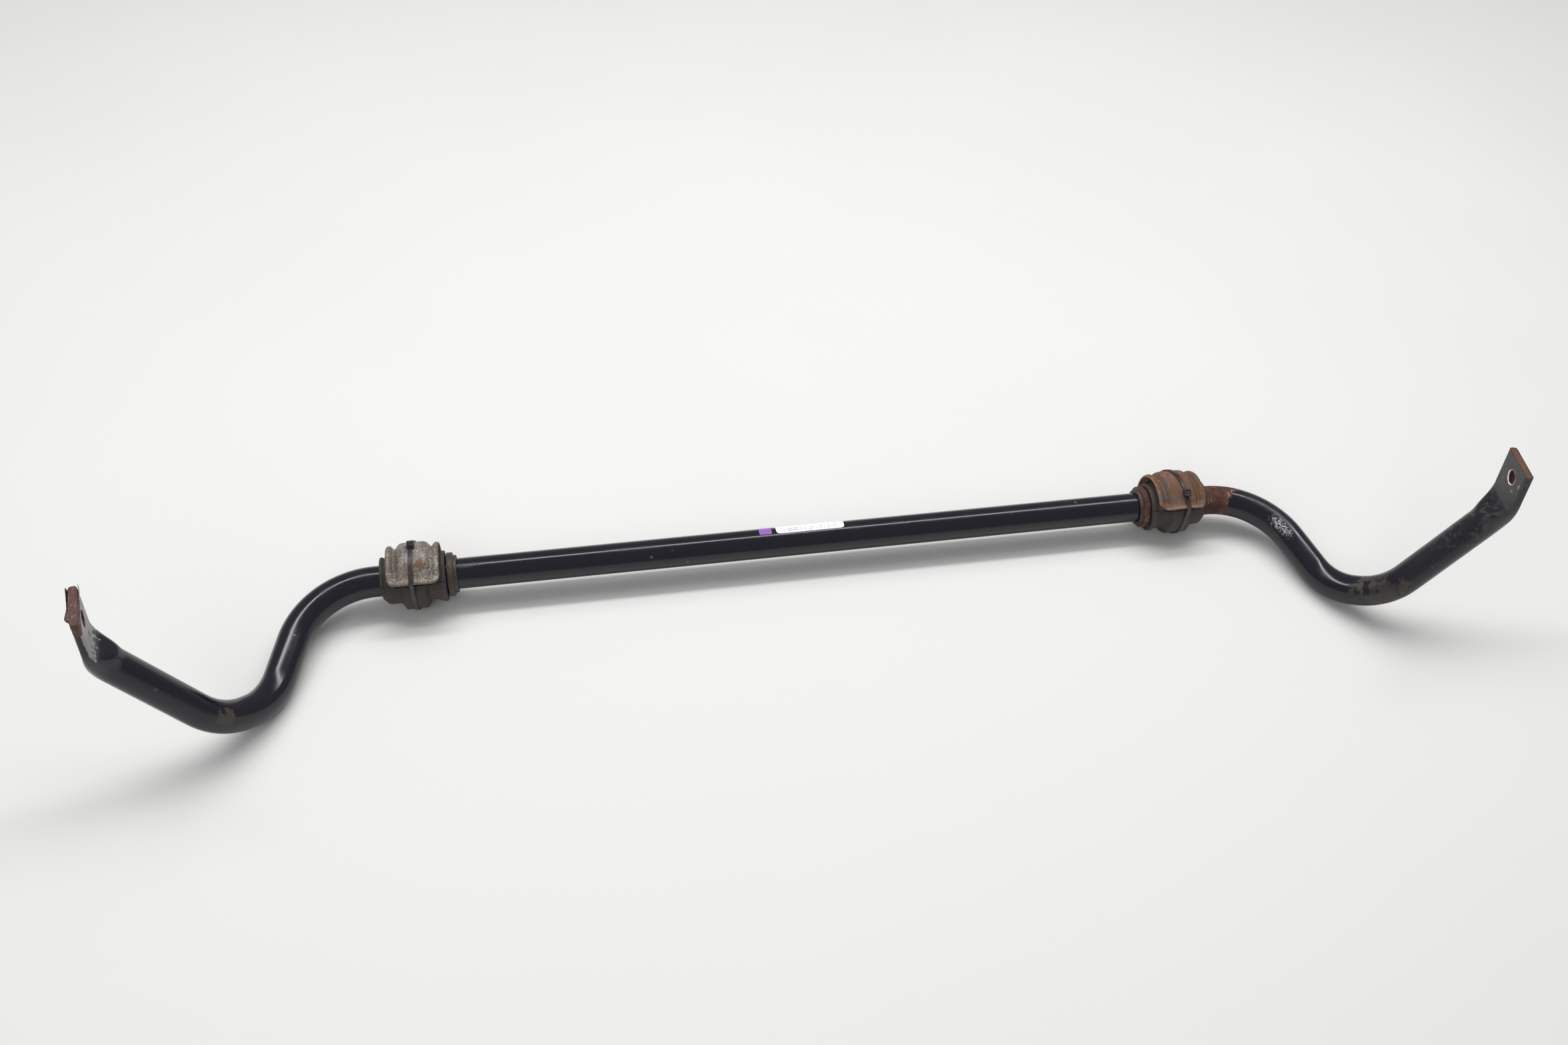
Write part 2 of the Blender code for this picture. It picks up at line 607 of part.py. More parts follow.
def tie_shape(slant):
    """The closed strap: a flat strip along its line, wandering along X by the slant."""
    line = np.array([(-r * math.sin(a), r * math.cos(a)) for r, a in tie_line()])
    tangent = np.roll(line, -1, axis=0) - np.roll(line, 1, axis=0)
    tangent /= np.linalg.norm(tangent, axis=1)[:, None]
    normal = np.stack([tangent[:, 1], -tangent[:, 0]], 1)
    normal *= np.sign((normal * line).sum(1))[:, None]
    turn = np.arctan2(-line[:, 0], line[:, 1])
    x = slant * np.sin(turn)
    half = TIE_WIDTH / 2
    outer = line + normal * TIE_THICKNESS
    rows = []
    for offset, ring in ((-half, line), (half, line), (half, outer), (-half, outer)):
        rows.append(np.stack([x + offset, ring[:, 0], ring[:, 1]], 1))
    vertices = np.stack(rows, 1).reshape(-1, 3)
    return vertices, grid_faces(len(line), 4, close_rows=True, close_columns=True)


def turned_box(size, centre_radius, angle, x):
    """A box at a given angle from +Z about the X axis, its height along the radius."""
    vertices, faces = box_shape((x, 0.0, centre_radius), size)
    y = vertices[:, 1] * math.cos(angle) - vertices[:, 2] * math.sin(angle)
    z = vertices[:, 1] * math.sin(angle) + vertices[:, 2] * math.cos(angle)
    return np.stack([vertices[:, 0], y, z], 1), faces


def make_tie(side, mats, parent):
    """The cable tie, its head with an open window, and the steel barb inside the window."""
    centre = side_shift()
    slant = TIE_SLANT[side]
    angle = TIE_HEAD_ANGLE[side]
    x = slant * math.sin(angle)
    base = CROWN_RADIUS + TOUCH_GAP
    vertices, faces = tie_shape(slant)
    tie = new_object(f"{side}_tie", *for_side(side, vertices + centre, faces), mats["nylon"], parent)
    head = turned_box(TIE_HEAD, base + TIE_HEAD[2] / 2, angle, x)
    head_box = cutter(f"{side}_tie_head", *for_side(side, head[0] + centre, head[1]), parent)
    boolean(tie, head_box, "UNION")
    top = base + TIE_HEAD[2]
    window = turned_box(TIE_WINDOW, top, angle, x)
    window_box = cutter(f"{side}_tie_window", *for_side(side, window[0] + centre, window[1]), parent)
    boolean(tie, window_box)
    barb_foot = top - TIE_WINDOW[2] / 2 + TOUCH_GAP
    barb = turned_box(BARB, barb_foot + BARB[2] / 2, angle, x)
    new_object(f"{side}_tie_barb", *for_side(side, barb[0] + centre, barb[1]), mats["barb"], parent)


# ---------------------------------------------------------------- stickers and assembly

def make_sticker(name, ends, angles, mat, parent):
    """A thin patch wrapped over the back of the tube."""
    inner = TUBE_RADIUS + TOUCH_GAP
    outer = inner + STICKER_THICKNESS
    profile = [(ends[0], inner), (ends[0], outer), (ends[1], outer), (ends[1], inner)]
    vertices, faces = turned_part(even_rows(profile, -angles[1], -angles[0], STICKER_STEPS))
    new_object(name, vertices, faces, mat, parent)


def rest_height(corners):
    """Height of the bar's axis when the lower of the straps and the bends stands on the ground."""
    lowest_bend = -tube_rings(corners, TUBE_SIDES, 0.0, 0.0)[..., 2].min()
    return max(BULGE_RADIUS + TOUCH_GAP + TIE_THICKNESS, lowest_bend)


def axis_depth(corners):
    """Y of the bar's axis that puts the origin midway between the front and the back of the part."""
    front = tube_rings(corners, TUBE_SIDES, 0.0, 0.0)[..., 1].min()
    strap = tie_shape(0.0)[0]
    back = (strap[:, 1] * math.cos(MOUNT_LEAN) - strap[:, 2] * math.sin(MOUNT_LEAN)).max()
    return -(front + back) / 2


def make_materials():
    """Plain finishes, one for each kind of surface."""
    return {
        "paint": material("black_paint", (0.02, 0.02, 0.025), 0.3),
        "ring": material("dark_steel", (0.10, 0.08, 0.07), 0.55, 0.8),
        "rubber": material("rubber", (0.045, 0.042, 0.04), 0.8),
        "insert": material("insert_steel", (0.35, 0.34, 0.33), 0.5, 1.0),
        "left_clamp": material("zinc_plate", (0.42, 0.36, 0.31), 0.6, 0.7),
        "right_clamp": material("rusty_plate", (0.28, 0.16, 0.10), 0.75, 0.4),
        "nylon": material("black_nylon", (0.03, 0.03, 0.03), 0.45),
        "barb": material("bright_steel", (0.7, 0.7, 0.7), 0.3, 1.0),
        "label": material("white_label", (0.9, 0.9, 0.9), 0.5),
        "patch": material("purple_patch", (0.30, 0.08, 0.55), 0.5),
    }


def main():
    """Build every piece, then seat each mount on its own turning empty."""
    clear_scene()
    mats = make_materials()
    corners = bar_corners()
    bar_axis = empty("bar_axis", (0.0, axis_depth(corners), rest_height(corners)))
    make_bar(corners, mats, bar_axis)
    make_sticker("label", LABEL_ENDS, LABEL_ANGLES, mats["label"], bar_axis)
    make_sticker("colour_patch", PATCH_ENDS, PATCH_ANGLES, mats["patch"], bar_axis)
    for side in ("left", "right"):
        make_ring(side, mats, bar_axis)
        mount_axis = empty(f"{side}_mount_axis", (0.0, 0.0, 0.0), MOUNT_LEAN, bar_axis)
        make_clamp(side, mats, mount_axis)
        make_bush(side, mats, mount_axis)
        make_tie(side, mats, mount_axis)


main()
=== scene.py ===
"""Sway bar: the finished surfaces and finishes of a used stabiliser bar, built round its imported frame."""

import json
import math

import bpy
import numpy as np
from bpy.props import FloatProperty, FloatVectorProperty, IntProperty, PointerProperty
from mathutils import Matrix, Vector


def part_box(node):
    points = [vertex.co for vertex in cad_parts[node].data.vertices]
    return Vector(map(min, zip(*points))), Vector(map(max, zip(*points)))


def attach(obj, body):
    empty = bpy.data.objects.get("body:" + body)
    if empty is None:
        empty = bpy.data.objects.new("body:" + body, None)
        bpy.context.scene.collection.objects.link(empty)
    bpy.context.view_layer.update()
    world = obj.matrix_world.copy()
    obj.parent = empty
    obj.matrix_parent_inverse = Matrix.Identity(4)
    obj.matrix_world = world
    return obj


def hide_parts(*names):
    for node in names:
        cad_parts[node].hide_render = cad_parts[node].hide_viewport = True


bl_info = {
    "name": "Sway Bar",
    "version": (1, 0, 0),
    "blender": (4, 5, 0),
    "location": "3D View > Sidebar > Sway Bar",
    "description": "Builds the visible surfaces and finishes of a used sway bar on its frame",
    "category": "Object",
}

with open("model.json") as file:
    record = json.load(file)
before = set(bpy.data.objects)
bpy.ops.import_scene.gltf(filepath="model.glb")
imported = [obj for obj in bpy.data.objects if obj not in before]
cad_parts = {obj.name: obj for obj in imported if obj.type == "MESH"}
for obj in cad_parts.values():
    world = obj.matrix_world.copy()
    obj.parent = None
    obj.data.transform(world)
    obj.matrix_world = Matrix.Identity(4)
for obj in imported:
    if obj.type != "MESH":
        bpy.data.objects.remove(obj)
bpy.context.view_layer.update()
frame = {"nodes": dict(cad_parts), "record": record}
MM = 0.001
SIDES = ("left", "right")
MOUNTS = {mount["name"]: mount for mount in frame["record"]["mounts"]}
OPENINGS = {gap["name"]: np.array(gap["box_m"]) for gap in frame["record"]["physics"]["openings"]}


def frame_box(node):
    """Lowest and highest corner of a frame node, as an array."""
    return np.array([list(corner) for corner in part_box(node)])


RING_BOX = frame_box("right_stop_ring")
RING_FLANGE = (RING_BOX[1, 2] - RING_BOX[0, 2]) / 2
CLAMP_BOX = frame_box("right_clamp")
AXIS = np.array([0.0, RING_BOX[:, 1].mean(), RING_BOX[:, 2].mean()])
MOUNT_X = CLAMP_BOX[:, 0].mean()
SEAT_AXIS = MOUNTS["right_bush_seat_flat"]["axis"]
SEAT_DISTANCE = float((np.array(MOUNTS["right_bush_seat_flat"]["pos_m"]) - AXIS) @ np.array(SEAT_AXIS))
MOUNT_LEAN = math.atan2(SEAT_AXIS[1], -SEAT_AXIS[2])
EYE_HOLE = OPENINGS["right_link_hole"].mean(axis=0)
EYE_OUTWARD = np.array(MOUNTS["right_eye_outer_face"]["axis"])
HOLE_REACH = 9 * MM


# ---------------------------------------------------------------- sizes and colours

def length(name, description, *values):
    """A length in millimetres, or a vector of them, that a user can change."""
    if len(values) == 1:
        return FloatProperty(name=name, description=description, unit="LENGTH", default=values[0] * MM)
    return FloatVectorProperty(name=name, description=description, unit="LENGTH", size=len(values),
                               default=tuple(value * MM for value in values))


class SwayBarSizes(bpy.types.PropertyGroup):
    """Sizes of the visible surfaces."""
    tube_radius: length("Tube radius", "Outside radius of the bar", 13.0)
    tube_wall: length("Tube wall", "Wall thickness of the bar", 3.2)
    leg_from_straight: length("Leg from straight", "From the first bend to the foot", 30.1, -102.0, -17.0)
    leg_foot: length("Foot leg", "Short leg across the foot", 30.9, -31.1, 21.9)
    leg_rise: length("Rising leg", "From the foot up to the eye", 66.6, -1.3, 96.8)
    leg_eye: length("Eye leg", "From the last bend to the cut end", -1.5, 3.3, 49.2)
    bend_radii: length("Bend radii", "Centre line radius of each bend", 68.0, 54.0, 60.0, 58.0)
    eye_from_hole: length("Hole to cut end", "Link hole centre to the cut end", 15.0)
    eye_width: length("Eye width", "Width of the flattened end", 39.0)
    eye_thickness: length("Eye thickness", "Thickness of the flattened end", 6.2)
    eye_slit: length("Eye slit", "Gap between the two squashed walls", 0.4)
    left_end_eaten: length("Left end eaten", "Rust has eaten the left cut end", 2.4)
    hole_radius: length("Link hole radius", "Radius of the link hole", 6.2)
    tube_sides: IntProperty(name="Tube sides", description="Points round the bar", default=104)
    station_step: length("Station step", "Spacing of the rings along the bar", 3.0)
    clamp_thickness: length("Clamp thickness", "Sheet thickness of a clamp", 2.4)
    tie_width: length("Tie width", "Width of a cable tie's strap", 3.6)
    tie_thickness: length("Tie thickness", "Thickness of a tie's strap", 1.1)


def color_property(name, description, default):
    """A colour that a user can change."""
    return FloatVectorProperty(name=name, description=description, subtype="COLOR", size=3,
                               min=0.0, max=1.0, default=default)


class SwayBarColours(bpy.types.PropertyGroup):
    """Main colours of the finishes."""
    paint: color_property("Paint", "Black paint of the bar", (0.007, 0.007, 0.012))
    rust_dark: color_property("Dark rust", "Deep brown rust", (0.045, 0.017, 0.012))
    rust_red: color_property("Red rust", "Red brown rust", (0.092, 0.037, 0.026))
    rust_pale: color_property("Pale rust", "Pale scale on the rust", (0.340, 0.265, 0.245))
    rust_orange: color_property("Orange rust", "Fresh orange rust", (0.160, 0.062, 0.032))
    bare_steel: color_property("Bare steel", "Worn steel at the eyes", (0.42, 0.43, 0.42))
    rubber: color_property("Rubber", "Rubber of the bushes", (0.026, 0.025, 0.025))
    dust: color_property("Dust", "Brown road dust", (0.105, 0.072, 0.050))
    zinc: color_property("Zinc", "Worn plating of the left clamp", (0.330, 0.300, 0.262))
    nylon: color_property("Nylon", "Cable ties", (0.016, 0.016, 0.018))
    label: color_property("Label", "White sticker", (0.86, 0.86, 0.87))
    patch: color_property("Colour patch", "Purple sticker", (0.290, 0.110, 0.480))
    floor: color_property("Floor", "Plain floor", (0.72, 0.715, 0.70))


def sizes():
    """The sizes in use."""
    return bpy.context.scene.sway_bar_sizes


def colours():
    """The colours in use."""
    return bpy.context.scene.sway_bar_colours


# ---------------------------------------------------------------- shape helpers

def unit(vectors):
    """Vectors of length one along the last axis."""
    vectors = np.asarray(vectors, dtype=float)
    return vectors / np.linalg.norm(vectors, axis=-1, keepdims=True)


def smooth(value, low, high):
    """0 below low, 1 above high, and 3t^2 - 2t^3 between."""
    t = np.clip((value - low) / (high - low), 0.0, 1.0)
    return t * t * (3.0 - 2.0 * t)


def fade(value, low, high):
    """1 below low and 0 above high."""
    return 1.0 - smooth(value, low, high)


def band(value, rise, fall):
    """1 between two places, where rise and fall are the (low, high) of its two edges."""
    return smooth(value, *rise) * fade(value, *fall)


def signed_power(value, power):
    """A power of a value's size, with the value's sign kept: sgn(v) |v|^p."""
    return np.sign(value) * np.abs(value) ** power


def waves(points, seed, scale, octaves=3):
    """Smooth noise: sums of sines of random directions, each octave twice as fine and half as high."""
    random = np.random.default_rng(seed)
    total = np.zeros(points.shape[:-1])
    for octave in range(octaves):
        directions = unit(random.normal(size=(6, 3))) * scale * 2 ** octave
        phases = random.uniform(0, 2 * math.pi, 6)
        total += np.sin(points @ directions.T + phases).mean(axis=-1) / 2 ** octave
    return total


def grid_quads(rows, columns, wrap_rows=False, wrap_columns=False, start=0):
    """Quads of a grid of points as an array of indices."""
    i = np.arange(rows if wrap_rows else rows - 1)[:, None]
    j = np.arange(columns if wrap_columns else columns - 1)[None, :]
    a = i * columns + j
    b = i * columns + (j + 1) % columns
    c = (i + 1) % rows * columns + (j + 1) % columns
    d = (i + 1) % rows * columns + j
    return np.stack([a, b, c, d], axis=-1).reshape(-1, 4) + start


def capped_quads(rows, columns, start=0):
    """Faces of closed rings of points, with one face over each of the two end rings."""
    first = np.arange(columns) + start
    return [*grid_quads(rows, columns, wrap_columns=True, start=start), first[::-1],
            first + (rows - 1) * columns]


def piece(name, vertices, faces, finish, sharp=40.0, marks=None):
    """A mesh from whole arrays, with its normals outward and its painted masks as attributes."""
    mesh = bpy.data.meshes.new(name)
    mesh.from_pydata(np.asarray(vertices).reshape(-1, 3).tolist(), [], [list(face) for face in faces])
    if signed_volume(mesh) < 0:
        mesh.flip_normals()
    for mark, values in (marks or {}).items():
        layer = mesh.attributes.new(mark, "FLOAT", "POINT")
        layer.data.foreach_set("value", np.asarray(values, dtype=np.float32).ravel())
    mesh.shade_smooth()
    mesh.set_sharp_from_angle(angle=math.radians(sharp))
    mesh.materials.append(finish)
    item = bpy.data.objects.new(name, mesh)
    bpy.context.collection.objects.link(item)
    return item


def signed_volume(mesh):
    """Volume inside the mesh: the sum of the tetrahedra from the origin to each triangle."""
    mesh.calc_loop_triangles()
    index = np.empty(len(mesh.loop_triangles) * 3, dtype=np.int64)
    mesh.loop_triangles.foreach_get("vertices", index)
    points = np.empty(len(mesh.vertices) * 3)
    mesh.vertices.foreach_get("co", points)
    a, b, c = np.moveaxis(points.reshape(-1, 3)[index.reshape(-1, 3)], 1, 0)
    return np.einsum("ij,ij->i", a, np.cross(b, c)).sum() / 6


def settle(item, body, slot, *nodes):
    """The piece rides on a body and stands for frame nodes, which are hidden; the slot is not used."""
    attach(item, body)
    if nodes:
        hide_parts(*nodes)


def frame_node_finish(node, finish):
    """A frame node that stays as it is takes a finish."""
    frame["nodes"][node].data.materials[0] = finish


def to_side(side, vertices):
    """A right-hand shape, or its mirror image in X for the left."""
    sign = -1.0 if side == "left" else 1.0
    return np.asarray(vertices) * np.array([sign, 1.0, 1.0])


def on_mount(side, vertices):
    """Points of a mount's own frame, +Z to the crown, leaned and moved to their side of the bar."""
    c, s = math.cos(MOUNT_LEAN), math.sin(MOUNT_LEAN)
    turn = np.array([[1.0, 0.0, 0.0], [0.0, c, -s], [0.0, s, c]])
    return to_side(side, np.asarray(vertices) @ turn.T + AXIS + np.array([MOUNT_X, 0.0, 0.0]))


def rounded_profile(corners, radius, steps=4, closed=False):
    """A line of (x, r) points with each corner replaced by a quadratic arc cut back by a radius."""
    corners = np.asarray(corners, dtype=float)
    before = np.roll(corners, 1, axis=0) - corners
    after = np.roll(corners, -1, axis=0) - corners
    reach_before = np.linalg.norm(before, axis=1)
    reach_after = np.linalg.norm(after, axis=1)
    cut = np.minimum(np.minimum(reach_before, reach_after) * 0.45, radius)
    if not closed:
        cut[[0, -1]] = 0.0
    first = corners + before * (cut / reach_before)[:, None]
    last = corners + after * (cut / reach_after)[:, None]
    t = np.linspace(0.0, 1.0, steps + 1)[None, :, None]
    arcs = (1 - t) ** 2 * first[:, None] + 2 * t * (1 - t) * corners[:, None] + t ** 2 * last[:, None]
    points = arcs.reshape(-1, 2)
    keep = np.linalg.norm(np.diff(points, axis=0, prepend=points[:1] - 1.0), axis=1) > 1e-7
    return points[keep]


def dense_profile(points, step):
    """The same line with points no further apart than the step."""
    lengths = np.linalg.norm(np.diff(points, axis=0), axis=1)
    counts = np.maximum(np.ceil(lengths / step).astype(int), 1)
    along = np.concatenate([[0.0], np.cumsum(lengths)])
    stops = [np.linspace(along[k], along[k + 1], counts[k], endpoint=False) for k in range(len(counts))]
    stops = np.concatenate(stops + [along[-1:]])
    return np.stack([np.interp(stops, along, points[:, 0]), np.interp(stops, along, points[:, 1])], 1)


def dense_loop(points, step):
    """A closed line with points no further apart than the step."""
    return dense_profile(np.concatenate([points, points[:1]]), step)[:-1]


def closed_section(corners, radius, steps, step):
    """A closed section with rounded corners and points no further apart than the step."""
    return dense_loop(rounded_profile(corners, radius, steps, closed=True), step)


def turned(profile, angles):
    """Grid of points: an (x, r) profile carried round the X axis, angles measured from +Z."""
    x = np.broadcast_to(profile[None, :, 0], (len(angles), len(profile)))
    y = -profile[None, :, 1] * np.sin(angles)[:, None]
    z = profile[None, :, 1] * np.cos(angles)[:, None]
    return np.stack([x, y, z], axis=-1)


# ---------------------------------------------------------------- the bar

def bar_corners(eaten):
    """Corners of a half's path from the frame's link hole, with its end eaten back by rust."""
    legs = np.array([sizes().leg_from_straight, sizes().leg_foot, sizes().leg_rise, sizes().leg_eye])
    along = unit(legs[-1])
    end = EYE_HOLE + along * sizes().eye_from_hole
    legs[-1] -= along * eaten
    end = end - along * eaten
    corners = [end]
    for leg in legs[::-1]:
        corners.append(corners[-1] - leg)
    corners.append(AXIS)
    return np.array(corners[::-1])


def bent_path(corners, radii, step):
    """Points, tangents and lengths along straight runs joined by circular arcs."""
    points, tangents = [], []
    start = corners[0]
    for index, radius in enumerate(radii, start=1):
        inward = unit(corners[index] - corners[index - 1])
        outward = unit(corners[index + 1] - corners[index])
        turn = math.acos(float(inward @ outward))
        begin = corners[index] - inward * radius * math.tan(turn / 2)
        centre = corners[index] + unit(outward - inward) * radius / math.cos(turn / 2)
        spoke = begin - centre
        run = np.linalg.norm(begin - start)
        t = np.linspace(0.0, 1.0, max(2, math.ceil(run / step)), endpoint=False)[:, None]
        points.append(start + (begin - start) * t)
        tangents.append(np.broadcast_to(inward, points[-1].shape))
        angle = np.linspace(0.0, turn, max(3, math.ceil(radius * turn / step)), endpoint=False)[:, None]
        points.append(centre + spoke * np.cos(angle) + inward * radius * np.sin(angle))
        tangents.append(inward * np.cos(angle) - spoke / radius * np.sin(angle))
        start = centre + spoke * math.cos(turn) + inward * radius * math.sin(turn)
    t = np.linspace(0.0, 1.0, math.ceil(np.linalg.norm(corners[-1] - start) / step * 4))[:, None]
    points.append(start + (corners[-1] - start) * t)
    tangents.append(np.broadcast_to(unit(corners[-1] - start), points[-1].shape))
    points, tangents = np.concatenate(points), np.concatenate(tangents)
    lengths = np.concatenate([[0.0], np.cumsum(np.linalg.norm(np.diff(points, axis=0), axis=1))])
    return points, tangents, lengths


def carried_back(tangents, last):
    """Directions across the path, carried back from the end without twist."""
    across = [last]
    for tangent in tangents[-2::-1]:
        across.append(unit(across[-1] - tangent * (across[-1] @ tangent)))
    return np.array(across[::-1])


def slot_ring(sides, flat, bend):
    """Evenly spaced points round slots: flats of length F joined by half circles of radius b.

    Half way round, a length q along the slot gives the angle phi = q / b up to a right angle, then
    a slide along the flat, then the rest of phi. u = F / 2 - slide + b cos(phi), s = sin(phi), and
    the other half has both signs turned over.
    """
    half = (flat + math.pi * bend)[:, None]
    length = (np.arange(sides) + 0.5) / sides * 2 * half
    over = length >= half
    q = np.where(over, length - half, length)
    flat, bend = flat[:, None], bend[:, None]
    quarter = math.pi / 2
    phi = np.clip(q / bend, 0.0, quarter) + np.clip((q - flat) / bend - quarter, 0.0, quarter)
    slide = np.clip(q - quarter * bend, 0.0, flat)
    sign = np.where(over, -1.0, 1.0)
    return sign * (flat / 2 - slide + bend * np.cos(phi)), sign * np.sin(phi)


# Where the flattening starts and ends, as lengths from the cut end.
OUTER_SQUASH = (31.0 * MM, 66.0 * MM)
INNER_SQUASH = (35.0 * MM, 60.0 * MM)


def bar_surface(sides, inset_round, inset_flat, eaten, step):
    """Right half of the bar: a circle that turns into a flat-sided slot shape near the eye.

    Each ring is two half circles of radius b, pushed apart by a - b, where a and b go from the
    tube's radius to half the eye's width and half its thickness as the squash goes from 0 to 1.
    The squash works faster on the inner face, where the die pressed, than on the outer one. The
    height is the sine of the angle to the power 1 - 0.45 squash, which squares the eye's edges.
    """
    s = sizes()
    points, tangents, lengths = bent_path(bar_corners(eaten), s.bend_radii, step)
    along = tangents[-1]
    across = carried_back(tangents, np.cross(along, EYE_OUTWARD))
    out = np.cross(across, tangents)
    from_end = lengths[-1] + eaten - lengths
    squash = fade(from_end, *OUTER_SQUASH)
    inner_squash = fade(from_end, *INNER_SQUASH)
    inset = inset_round + (inset_flat - inset_round) * squash
    half_width = s.tube_radius + (s.eye_width / 2 - s.tube_radius) * squash - inset
    half_depth = s.tube_radius + (s.eye_thickness / 2 - s.tube_radius) * squash - inset
    inner_depth = s.tube_radius + (s.eye_thickness / 2 - s.tube_radius) * inner_squash - inset
    round_end = np.minimum(half_depth, half_width)
    u, facing = slot_ring(sides, 2 * (half_width - round_end), round_end)
    depth = np.where(facing < 0, inner_depth[:, None], half_depth[:, None])
    v = depth * signed_power(facing, 1 - 0.45 * squash[:, None])
    rings = points[:, None] + across[:, None] * u[..., None] + out[:, None] * v[..., None]
    return rings, lengths, facing


def near(points, centre, radius):
    """1 at the centre of a ball, falling to 0 at its radius."""
    return fade(np.linalg.norm(points - centre, axis=-1), 0.0, radius)


def eye_place(points, side):
    """Distance of points from the link hole's axis, and their height above the hole along the eye."""
    away = to_side(side, points) - EYE_HOLE
    along_axis = (away @ EYE_OUTWARD)[..., None] * EYE_OUTWARD
    return np.linalg.norm(away - along_axis, axis=-1), away[..., 2]


# Wear on either half of the bar, as lengths from its middle and as directions that it faces.
RING_WEAR = (262 * MM, 302 * MM), (303 * MM, 304 * MM)
RUST_STARTS = (352 * MM, 358 * MM)
RUST_ENDS = 397 * MM
FIRST_BEND = 425 * MM
PALE_SCUFF = 446 * MM
PALE_SCUFF_FACES = unit((-0.40, -0.50, 0.75))
RIGHT_FOOT = 558 * MM
BROWN_SCUFF = 563 * MM
BROWN_SCUFF_FACES = unit((0.21, -0.58, 0.79))
RISING_ARM = (560 * MM, 575 * MM), (630 * MM, 650 * MM)
EYE_STARTS = (30 * MM, 46 * MM)
WASHER = (9.6 * MM, 10.2 * MM), (11.0 * MM, 11.8 * MM)


def bar_marks(points, lengths, facing, side):
    """Masks of wear on the bar: rust, bare steel, grime, dull paint, bumps and pale scuffs."""
    along = np.broadcast_to(lengths[:, None], points.shape[:2])
    from_end = (lengths[-1] - lengths)[:, None]
    to_axis, above_hole = eye_place(points, side)
    normal = unit(points - points.mean(axis=1, keepdims=True))
    rust, bare_and_glint, pale, bumps, cut = np.zeros((5, *points.shape[:2]))
    grime = smooth(waves(points, 21, 90.0), 0.6, 0.9) * 0.25
    eye = fade(from_end, EYE_STARTS[0], EYE_STARTS[1] + 6 * MM * waves(points, 9, 120.0))
    eye = eye * smooth(-facing, 0.15, 0.6)
    washer = band(to_axis, *WASHER) * eye
    dull = 0.75 * eye
    by_ring = band(along, *RING_WEAR)
    if side == "right":
        top = (points[..., 1] - AXIS[1]) / sizes().tube_radius
        torn = RUST_ENDS + 8 * MM * np.clip(top, -1, 1) + 5 * MM * waves(points, 3, 160.0)
        rust += fade(along, torn - 1 * MM, torn + 1 * MM) * smooth(along, *RUST_STARTS)
        foot = fade(np.abs(along - RIGHT_FOOT), 6 * MM, 38 * MM)
        grime += 0.85 * foot * smooth(waves(points, 5, 150.0), -0.6, 0.7)
        grime += 0.35 * smooth(along, 590 * MM, 640 * MM)
        bumps += band(along, *RISING_ARM)
        bumps += fade(np.abs(along - FIRST_BEND), 16 * MM, 30 * MM)
        rubbed = smooth(normal @ PALE_SCUFF_FACES, 0.84, 0.99)
        pale += 0.52 * rubbed * fade(np.abs(along - PALE_SCUFF), 6 * MM, 22 * MM)
        grime += 0.7 * washer
        scraped = smooth(waves(points, 12, 500.0), 0.2, 0.7)
        bare_and_glint += 0.45 * scraped * eye * fade(to_axis, 12 * MM, 20 * MM)
        dull += 0.30 * smooth(along, 560 * MM, 600 * MM)
        bumps += 0.5 * by_ring
    else:
        bare_and_glint += eye * smooth(waves(points, 8, 150.0), -0.85, -0.45)
        grime += 0.9 * eye * fade(above_hole, -22 * MM, -6 * MM)
        rubbed = smooth(normal @ BROWN_SCUFF_FACES, 0.50, 0.98)
        grime += 1.1 * rubbed * fade(np.abs(along - BROWN_SCUFF), 2 * MM, 12 * MM)
        grime += 0.9 * washer
        bumps += by_ring
    marks = {"rust": rust, "bare_and_glint": bare_and_glint, "cut": cut}
    ranged = {"grime": grime, "dull": dull, "bumps": bumps, "pale": pale}
    return marks | {mark: np.clip(values, 0, 1) for mark, values in ranged.items()}


def half_bar(side, inset_round, inset_flat, step):
    """Rings of one half of the bar, and their marks."""
    eaten = sizes().left_end_eaten if side == "left" else 0.0
    rings, lengths, facing = bar_surface(sizes().tube_sides, inset_round, inset_flat, eaten, step)
    rings = to_side(side, rings)
    return rings, bar_marks(rings, lengths, facing, side)


def whole_bar(inset_round, inset_flat, step):
    """Rings from the left cut end to the right one, and their marks."""
    left, left_marks = half_bar("left", inset_round, inset_flat, step)
    right, right_marks = half_bar("right", inset_round, inset_flat, step)
    rings = np.concatenate([left[:0:-1], right])
    marks = {key: np.concatenate([left_marks[key][:0:-1], right_marks[key]]) for key in right_marks}
    return rings, marks


def round_cutter(centre, axis, radius, reach, count=64):
    """A circle carried along its axis from a centre by its reach each way, with both ends closed."""
    across = unit(np.cross(axis, (0.0, 0.0, 1.0)))
    other = np.cross(axis, across)
    angles = np.arange(count) / count * 2 * math.pi
    circle = (np.cos(angles)[:, None] * across + np.sin(angles)[:, None] * other) * radius
    vertices = np.concatenate([centre - axis * reach + circle, centre + axis * reach + circle])
    return piece("hole_cutter", vertices, capped_quads(2, count), None)


def cut_away(item, cutter):
    """Cut one piece with another, keep the result as its mesh and remove the cutter."""
    mod = item.modifiers.new("cut", "BOOLEAN")
    mod.solver = "EXACT"
    mod.operation = "DIFFERENCE"
    mod.object = cutter
    graph = bpy.context.evaluated_depsgraph_get()
    mesh = bpy.data.meshes.new_from_object(item.evaluated_get(graph))
    item.modifiers.clear()
    item.data = mesh
    bpy.data.objects.remove(cutter, do_unlink=True)


